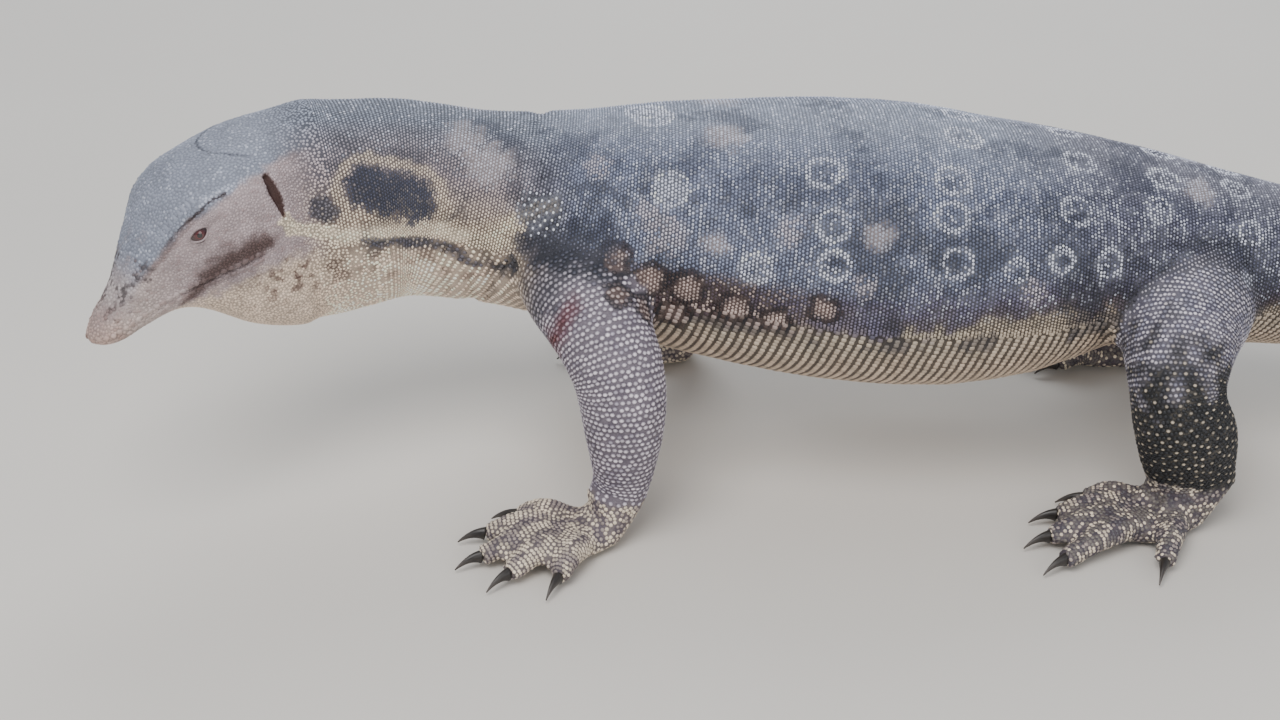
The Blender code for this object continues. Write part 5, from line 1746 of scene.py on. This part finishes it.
def fill_scales(surface, apart, rng):
    """Scales on the head and the palms, and in the gaps that the rows leave at the roots of the limbs."""
    head = in_head(surface.points, 0.004)
    low = surface.points[:, 2] < 0.06
    weight = np.where(head, 3.2, np.where(low, 1.6, 0.8))
    points, normals = surface.scatter(SCATTERED_PLACES, rng, weight)
    coat = Coat(points, normals, 1)
    size = sizes()
    pitch = np.full(len(points), size.back_pitch)
    pitch[coat.zone == 1] = head_pitch_at(coat)[coat.zone == 1]
    pitch[coat.zone == 2] = size.leg_pitch
    pitch[coat.zone == 3] = size.foot_pitch
    pitch[(coat.zone == 0) & (coat.key > 1.0)] = size.tail_pitch
    pitch[(coat.zone == 0) & (coat.key > 1.6)] = size.tail_pitch * 0.8
    pitch *= rng.uniform(0.92, 1.08, len(points))
    tall = np.where(coat.zone == 1, 0.42, np.where(coat.zone == 3, 0.7, 0.9))
    tall = tall * np.where((coat.zone == 1) & (coat.share < 0.05), 1.6, 1.0)
    for side in (1, -1):
        past, distance = beyond_lids(points, side)
        fine = 0.0015 + 0.0014 * ease(0.35, 0.9, past)
        pitch = np.where(distance < 0.020, np.minimum(pitch, fine), pitch)
        tall = np.where(distance < 0.016, 0.30, tall)
        pitch[(distance < 0.016) & ((past < 0.10) | (distance < EYE_RADIUS + 0.0002))] = 0
    pitch[(coat.zone == 1) & (ear_ratio(points) < 0.85)] = 0
    ahead = BODY_TUBE.at(coat.key, BODY_TUBE.ahead)
    on_head = coat.zone == 1
    place = np.clip(np.searchsorted(HEAD_SHARES, coat.share[on_head]), 0, len(HEAD_SHARES) - 1)
    ahead[on_head] = -HEAD_AHEAD[place]
    for number, limb in enumerate(LIMBS):
        mine = coat.limb_number == number
        tube = LIMB_TUBES[limb.name]
        ahead[mine & (coat.zone == 2)] = tube.at(coat.limb_key[mine & (coat.zone == 2)], tube.ahead)
        ahead[mine & (coat.zone == 3)] = foot_frame(limb)[1]
    along = unit(ahead - normals * (ahead * normals).sum(1)[:, None])
    turned = rng.normal(0, 0.25, len(points)) * np.where(on_head, 1.6, 1.0)
    side_way = np.cross(normals, along)
    along = along * np.cos(turned)[:, None] + side_way * np.sin(turned)[:, None]
    group = Scales(points, normals, along, pitch * 1.04, pitch, tall, rng.integers(0, 900, len(points)))
    plated = (coat.zone == 0) & (np.abs(coat.angle) > math.radians(103)) & (coat.key > 0.05) & (coat.key < 0.98)
    room = np.where(plated, 1.45, 0.80)
    return apart.thin(chosen(group, pitch > 0), room[pitch > 0])


def lip_plates(surface):
    """A row of oblong plates along each lip, and a row of narrow plates over each eye."""
    groups = []
    for side in (1, -1):
        for lift, long, wide, count in ((0.0031, 0.0052, 0.0044, 27), (-0.0028, 0.0050, 0.0036, 27)):
            path = mouth_path(side, lift, 0.29)
            steps = distances(path)
            places = between(np.arange(0.5, count) / count * steps[-1], steps, path)
            groups.append(plates_at(surface, places, path, steps[-1] / count * 0.96, wide, side, 0.6))
        inner = [head_point(share, side * (rail_at("brow", share)[0] - 0.0085), rail_at("crown", share)[1])
                 for share in np.linspace(0.40, 0.575, 9)]
        inner = np.array(inner)
        groups.append(plates_at(surface, inner, inner, 0.0036, 0.0085, side, 0.45, from_above=True))
    return joined(*groups)


def plates_at(surface, places, path, long, wide, side, tall, from_above=False):
    forward, left, up = head_axes()
    share, across, high = head_find(places)
    inner = np.array([head_point(s, w * 0.4, h * 0.4) for s, w, h in zip(share, across, high)])
    if from_above:
        inner = places - up * 0.02
    hits, normals, far = surface.cast(inner, unit(places - inner))
    run = np.gradient(places, axis=0)
    along = unit(run - normals * (run * normals).sum(1)[:, None])
    good = np.isfinite(far) & (far < 0.06)
    group = Scales(hits, normals, along, np.full(len(places), long), np.full(len(places), wide),
                   np.full(len(places), tall), np.zeros(len(places)))
    return chosen(group, good)


LID_BEAD = 0.00115


def lid_beads():
    """A row of small beads along the edge of the lids of each eye."""
    groups = []
    for side in (1, -1):
        centre, out, along, across = eye_axes(side)
        turns = np.linspace(0, 2 * math.pi, 400)
        c, s = np.cos(turns), np.sin(turns)
        reach = lid_spread(c, s) + 0.055
        rim = c[:, None] * along + s[:, None] * across
        ways = out * np.cos(reach)[:, None] + rim * np.sin(reach)[:, None]
        lift = np.where(s > 0, 0.0015, 0.0010)[:, None]
        line = centre + ways * (EYE_RADIUS + lift)
        steps = distances(line)
        at = np.arange(int(steps[-1] / LID_BEAD)) * LID_BEAD
        places, normals = between(at, steps, line), between(at, steps, ways)
        run = np.roll(places, -1, axis=0) - np.roll(places, 1, axis=0)
        full = np.full(len(at), LID_BEAD)
        groups.append(Scales(places, unit(normals), unit(run), full, full, full * 0 + 0.3, full * 0))
    return joined(*groups)


MOST_TRIANGLES = 200000


def make_coat_piece(name, group, shape, root):
    """One piece of coat from its scales, as plain mesh with its bake map."""
    size = sizes()
    coat = Coat(group.points, group.normals, size.seed + 1, group.row)
    tip, rim = coat.colours()
    mesh = mesh_from(name + "_places", group.points, [])
    spread = np.stack([group.long, group.wide, group.tall * size.bead_height], axis=1)
    flat = np.concatenate([root, np.zeros((len(root), 1))], axis=1)
    for label, vectors in (("out", group.normals), ("along", group.along), ("spread", spread), ("root", flat)):
        write_attribute(mesh, label, "FLOAT_VECTOR", vectors)
    for label, shades in (("tip", tip), ("rim", rim)):
        write_attribute(mesh, label, "FLOAT_COLOR", np.clip(shades, 0, 1))
    dots = new_object(name + "_places", mesh)
    tree = bpy.data.node_groups.get("scales over the skin") or scale_tree()
    step = dots.modifiers.new("scales", "NODES")
    step.node_group = tree
    finish = named_material("keratin scale, dry", beaded_scale_material)
    for label, value in (("Scale Shape", shape), ("Height", 1.0), ("Bake Patch", size.patch), ("Finish", finish)):
        step[socket_name(tree, label)] = value
    coat_mesh = evaluated_mesh(dots)
    remove_object(dots)
    coat_mesh.name = name
    for unwanted in ("out", "along", "spread", "root", "patch"):
        layer = coat_mesh.attributes.get(unwanted)
        if layer:
            coat_mesh.attributes.remove(layer)
    points = read_points(coat_mesh)
    points[:, 2] = np.maximum(points[:, 2], 0.0001)
    write_points(coat_mesh, points)
    coat_mesh.shade_smooth()
    piece = new_object(name, coat_mesh)
    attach(piece, "root")
    count = sum(len(p.vertices) - 2 for p in coat_mesh.polygons)
    if not 0 < count < MOST_TRIANGLES:
        raise RuntimeError(f"{name} has {count} triangles")


def unwrap(coat, group_zone):
    """Each root's place on the zone's own unwrap, from 0 to 1 both ways."""
    if group_zone == "head":
        around = np.arctan2(coat.wide, coat.high + 0.02)
        flat = np.stack([coat.share, around], axis=1)
    elif group_zone == "limb":
        flat = np.stack([coat.limb_key, coat.limb_angle], axis=1)
    elif group_zone == "foot":
        flat = coat.points[:, :2] + coat.normals[:, :2] * 0.012 + np.sign(coat.normals[:, 2:]) * (0, 0.1)
    else:
        flat = np.stack([coat.key, coat.angle], axis=1)
    low, high = flat.min(0), flat.max(0)
    return 0.004 + 0.992 * (flat - low) / np.maximum(high - low, 1e-6)


def coat_groups(group):
    """The coat's pieces: name, which scales, kind of unwrap and kind of scale."""
    coat = Coat(group.points, group.normals, 2)
    degrees = np.degrees(coat.angle)
    turned, key, zone = np.abs(degrees), coat.key, coat.zone
    body = zone == 0
    trunk = body & (key >= SHOULDER_KEY) & (key < VENT_KEY)
    belly = trunk & (turned > 100)
    pieces = [
        ("coat_head_left", (zone == 1) & (coat.wide >= 0), "head", "bead"),
        ("coat_head_right", (zone == 1) & (coat.wide < 0), "head", "bead"),
        ("coat_neck", body & (key < SHOULDER_KEY), "body", "cone"),
        ("coat_belly_left", belly & (degrees >= 0), "body", "plate"),
        ("coat_belly_right", belly & (degrees < 0), "body", "plate"),
        ("coat_back_left", trunk & ~belly & (degrees >= 0) & (degrees < 55), "body", "cone"),
        ("coat_back_right", trunk & ~belly & (degrees < 0) & (degrees > -55), "body", "cone"),
        ("coat_flank_left", trunk & ~belly & (degrees >= 55), "body", "cone"),
        ("coat_flank_right", trunk & ~belly & (degrees <= -55), "body", "cone"),
        ("coat_tail_root", body & (key >= VENT_KEY) & (key < TAIL_KEYS[1]), "body", "cone"),
        ("coat_tail_middle", body & (key >= TAIL_KEYS[1]) & (key < TAIL_KEYS[2]), "body", "cone"),
        ("coat_tail_end", body & (key >= TAIL_KEYS[2]), "body", "cone"),
    ]
    for number, limb in enumerate(LIMBS):
        foot = limb.name.replace("leg", "foot")
        mine = coat.limb_number == number
        pieces.append((f"coat_{limb.name}", mine & (zone == 2), "limb", "dot"))
        pieces.append((f"coat_{foot}", mine & (zone == 3), "foot", "bead"))
    return coat, pieces


class MONITOR_OT_coat(bpy.types.Operator):
    """Beaded scales in rows over body, tail and legs, plates on the head and belly, and the lips' plates"""
    bl_idname = "monitor.coat"
    bl_label = "Make the Scales"

    def execute(self, context):
        rng = np.random.default_rng(sizes().seed)
        surface = Surface()
        apart = Apart()
        fixed = [apart.thin(lip_plates(surface), 0.5), apart.thin(lid_beads(), 0.5)]
        rows = [apart.thin(group, 0.72) for group in all_body_rows(surface, rng) + all_limb_rows(surface, rng)]
        group = joined(*fixed, *rows, fill_scales(surface, apart, rng))
        coat, pieces = coat_groups(group)
        shapes = {"bead": template("bead", *bead_shape()), "plate": template("plate", *plate_shape()),
                  "dot": template("dot", *bead_shape(0.0, 0.22)), "cone": template("cone", *cone_shape())}
        for name, which, kind, shape in pieces:
            part = chosen(group, which)
            zone = Coat(part.points, part.normals, 3)
            make_coat_piece(name, part, shapes[shape], unwrap(zone, kind))
        for shape in shapes.values():
            remove_object(shape)
        return {"FINISHED"}


# Eyes and claws

class MONITOR_OT_eyes(bpy.types.Operator):
    """Two eyeballs with iris, pupil and a clear bulge in front"""
    bl_idname = "monitor.eyes"
    bl_label = "Make the Eyes"

    def execute(self, context):
        for side, name in ((1, "eye_left"), (-1, "eye_right")):
            centre, out = eye_place(side)
            first = unit(np.cross(out, UP))
            second = np.cross(out, first)
            rings, sides, own = 40, 48, []
            for tilt in np.linspace(0.0005, math.pi - 0.0005, rings):
                bulge = 1 + 0.05 * float(1 - ease(0.15, 0.75, tilt))
                for turn in np.linspace(0, 2 * math.pi, sides, endpoint=False):
                    own.append(np.array((math.sin(tilt) * math.cos(turn), math.sin(tilt) * math.sin(turn),
                                         math.cos(tilt))) * bulge)
            own = np.array(own)
            places = centre + EYE_RADIUS * (own[:, :1] * first + own[:, 1:2] * second + own[:, 2:] * out)
            mesh = outward_mesh(name + "_ball", places, loft_faces(rings, sides))
            write_attribute(mesh, "gaze", "FLOAT_VECTOR", own)
            mesh.materials.append(named_material("wet eye", eye_material))
            piece = new_object(name + "_ball", mesh)
            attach(piece, "root")
            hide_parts(name)
        return {"FINISHED"}


CLAW_RINGS = 14
CLAW_SIDES = 14
CLAW_ROOT_RADIUS = 0.0052
CLAW_TIP_RADIUS = 0.0005


def claw_rings(limb, toe, foot):
    """Sections of a claw that leaves the toe's tip and bends down to the floor, with a groove below."""
    tip, beyond = toe_curve(limb, toe, [1.02, 1.06])
    slope = unit(beyond - tip)
    way = unit(slope * (1, 1, 0))
    side = unit(np.cross(way, UP))
    start = tip + slope * 0.0003
    rings = []
    for share in np.linspace(0, 1, CLAW_RINGS):
        radius = CLAW_ROOT_RADIUS + (CLAW_TIP_RADIUS - CLAW_ROOT_RADIUS) * share**0.85
        pitch = 0.25 - 1.0 * share
        heading = way * math.cos(pitch) + UP * math.sin(pitch)
        up = np.cross(side, heading)
        height = start[2] + foot.claw_length * (0.20 * share - 0.50 * share**2)
        centre = start + way * foot.claw_length * share
        centre = np.array((centre[0], centre[1], max(height, radius * 1.1)))
        for turn in np.linspace(0, 2 * math.pi, CLAW_SIDES, endpoint=False):
            groove = 1 - 0.22 * math.exp(-((turn - math.pi) / 0.5) ** 2)
            rings.append(centre + (up * 1.15 * math.cos(turn) + side * 0.80 * math.sin(turn)) * radius * groove)
    return np.array(rings)


class MONITOR_OT_claws(bpy.types.Operator):
    """Twenty curved claws of dark horn"""
    bl_idname = "monitor.claws"
    bl_label = "Make the Claws"

    def execute(self, context):
        for limb in LIMBS:
            foot = FEET[limb.kind]
            part = limb.name.replace("leg", "foot")
            for number, toe in enumerate(foot.toes, 1):
                rings = claw_rings(limb, toe, foot)
                name = f"{part}_claw_{number}"
                mesh = outward_mesh("horn_" + name, rings, loft_faces(CLAW_RINGS, CLAW_SIDES))
                share = np.repeat(np.linspace(0, 1, CLAW_RINGS), CLAW_SIDES)
                turn = np.tile(np.linspace(0, 2 * math.pi, CLAW_SIDES, endpoint=False), CLAW_RINGS)
                grown = np.stack([np.cos(turn) + number, np.sin(turn), share], axis=1)
                write_attribute(mesh, "grown", "FLOAT_VECTOR", grown)
                mesh.materials.append(named_material("claw horn, worn", claw_material))
                piece = new_object("horn_" + name, mesh)
                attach(piece, "root")
                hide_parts(name)
        return {"FINISHED"}


# Stage

CAMERA_TARGET = np.array((-0.658, 0.0039, 0.0765))
CAMERA_AZIMUTH = math.radians(-1)
CAMERA_ELEVATION = math.radians(29)
CAMERA_DISTANCE = 1.6
CAMERA_LENS = 55.44


def soft_light(name, place, target, size, power, tint):
    lamp = bpy.data.lights.new(name, "AREA")
    lamp.shape = "DISK"
    lamp.size = size
    lamp.energy = power
    lamp.color = tint
    thing = bpy.data.objects.new(name, lamp)
    bpy.context.scene.collection.objects.link(thing)
    thing.location = place
    thing.rotation_euler = (Vector(target) - Vector(place)).to_track_quat("-Z", "Y").to_euler()


class MONITOR_OT_stage(bpy.types.Operator):
    """A plain pale floor, soft studio light and the camera"""
    bl_idname = "monitor.stage"
    bl_label = "Make the Stage"

    def execute(self, context):
        half = 9
        floor = new_object("floor", mesh_from(
            "floor", [(-half, -half, 0), (half, -half, 0), (half, half, 0), (-half, half, 0)], [(0, 1, 2, 3)]))
        made, tree, shader = new_material("floor, matt paint")
        place = add_node(tree, "ShaderNodeTexCoord").outputs["Object"]
        cloud = add_node(tree, "ShaderNodeTexNoise", {"Vector": place}, {"Scale": 3.0, "Detail": 3.0})
        shade = add_node(tree, "ShaderNodeMapRange", {"Value": cloud.outputs["Fac"]},
                         {"To Min": 0.97, "To Max": 1.03})
        base = add_node(tree, "ShaderNodeVectorMath", {"Scale": shade.outputs["Result"]},
                        {0: tuple(colour("floor"))}, operation="SCALE")
        tree.links.new(base.outputs["Vector"], shader.inputs["Base Color"])
        shader.inputs["Roughness"].default_value = 0.85
        floor.data.materials.append(made)
        world = bpy.data.worlds.new("soft room")
        bpy.context.scene.world = world
        world.use_nodes = True
        background = world.node_tree.nodes["Background"]
        background.inputs["Color"].default_value = (0.86, 0.92, 1.0, 1)
        background.inputs["Strength"].default_value = 0.55
        middle = (-0.55, 0.0, 0.12)
        soft_light("key", (-1.3, -1.6, 2.9), middle, 2.2, 85, (1.0, 0.98, 0.96))
        soft_light("fill", (0.9, -2.4, 1.1), middle, 2.0, 22, (1.0, 0.97, 0.93))
        soft_light("back", (-0.2, 2.6, 2.4), middle, 2.4, 55, (0.92, 0.96, 1.0))
        camera = bpy.data.cameras.new("camera")
        camera.lens = CAMERA_LENS
        camera.sensor_width = 36
        thing = bpy.data.objects.new("camera", camera)
        bpy.context.scene.collection.objects.link(thing)
        back = np.array((
            math.sin(CAMERA_AZIMUTH) * math.cos(CAMERA_ELEVATION),
            -math.cos(CAMERA_AZIMUTH) * math.cos(CAMERA_ELEVATION),
            math.sin(CAMERA_ELEVATION),
        ))
        thing.location = Vector(CAMERA_TARGET + back * CAMERA_DISTANCE)
        thing.rotation_mode = "QUATERNION"
        thing.rotation_quaternion = Vector(-back).to_track_quat("-Z", "Y")
        bpy.context.scene.camera = thing
        return {"FINISHED"}


class MONITOR_PT_panel(bpy.types.Panel):
    """Steps and settings of the water monitor"""
    bl_label = "Water Monitor"
    bl_space_type = "VIEW_3D"
    bl_region_type = "UI"
    bl_category = "Monitor"

    def draw(self, context):
        column = self.layout.column()
        for step in STEPS:
            column.operator(step.bl_idname)
        for group in (context.scene.monitor_sizes, context.scene.monitor_colours):
            box = self.layout.box()
            for name in group.__annotations__:
                box.prop(group, name)


STEPS = (MONITOR_OT_skin, MONITOR_OT_coat, MONITOR_OT_eyes, MONITOR_OT_claws, MONITOR_OT_stage)
CLASSES = (MonitorSizes, MonitorColours) + STEPS + (MONITOR_PT_panel,)


def register():
    for kind in CLASSES:
        bpy.utils.register_class(kind)
    bpy.types.Scene.monitor_sizes = bpy.props.PointerProperty(type=MonitorSizes)
    bpy.types.Scene.monitor_colours = bpy.props.PointerProperty(type=MonitorColours)


def unregister():
    del bpy.types.Scene.monitor_sizes
    del bpy.types.Scene.monitor_colours
    for kind in reversed(CLASSES):
        bpy.utils.unregister_class(kind)


def main():
    register()
    bpy.ops.monitor.stage()
    bpy.ops.monitor.skin()
    bpy.ops.monitor.eyes()
    bpy.ops.monitor.claws()
    bpy.ops.monitor.coat()


if __name__ == "__main__":
    main()
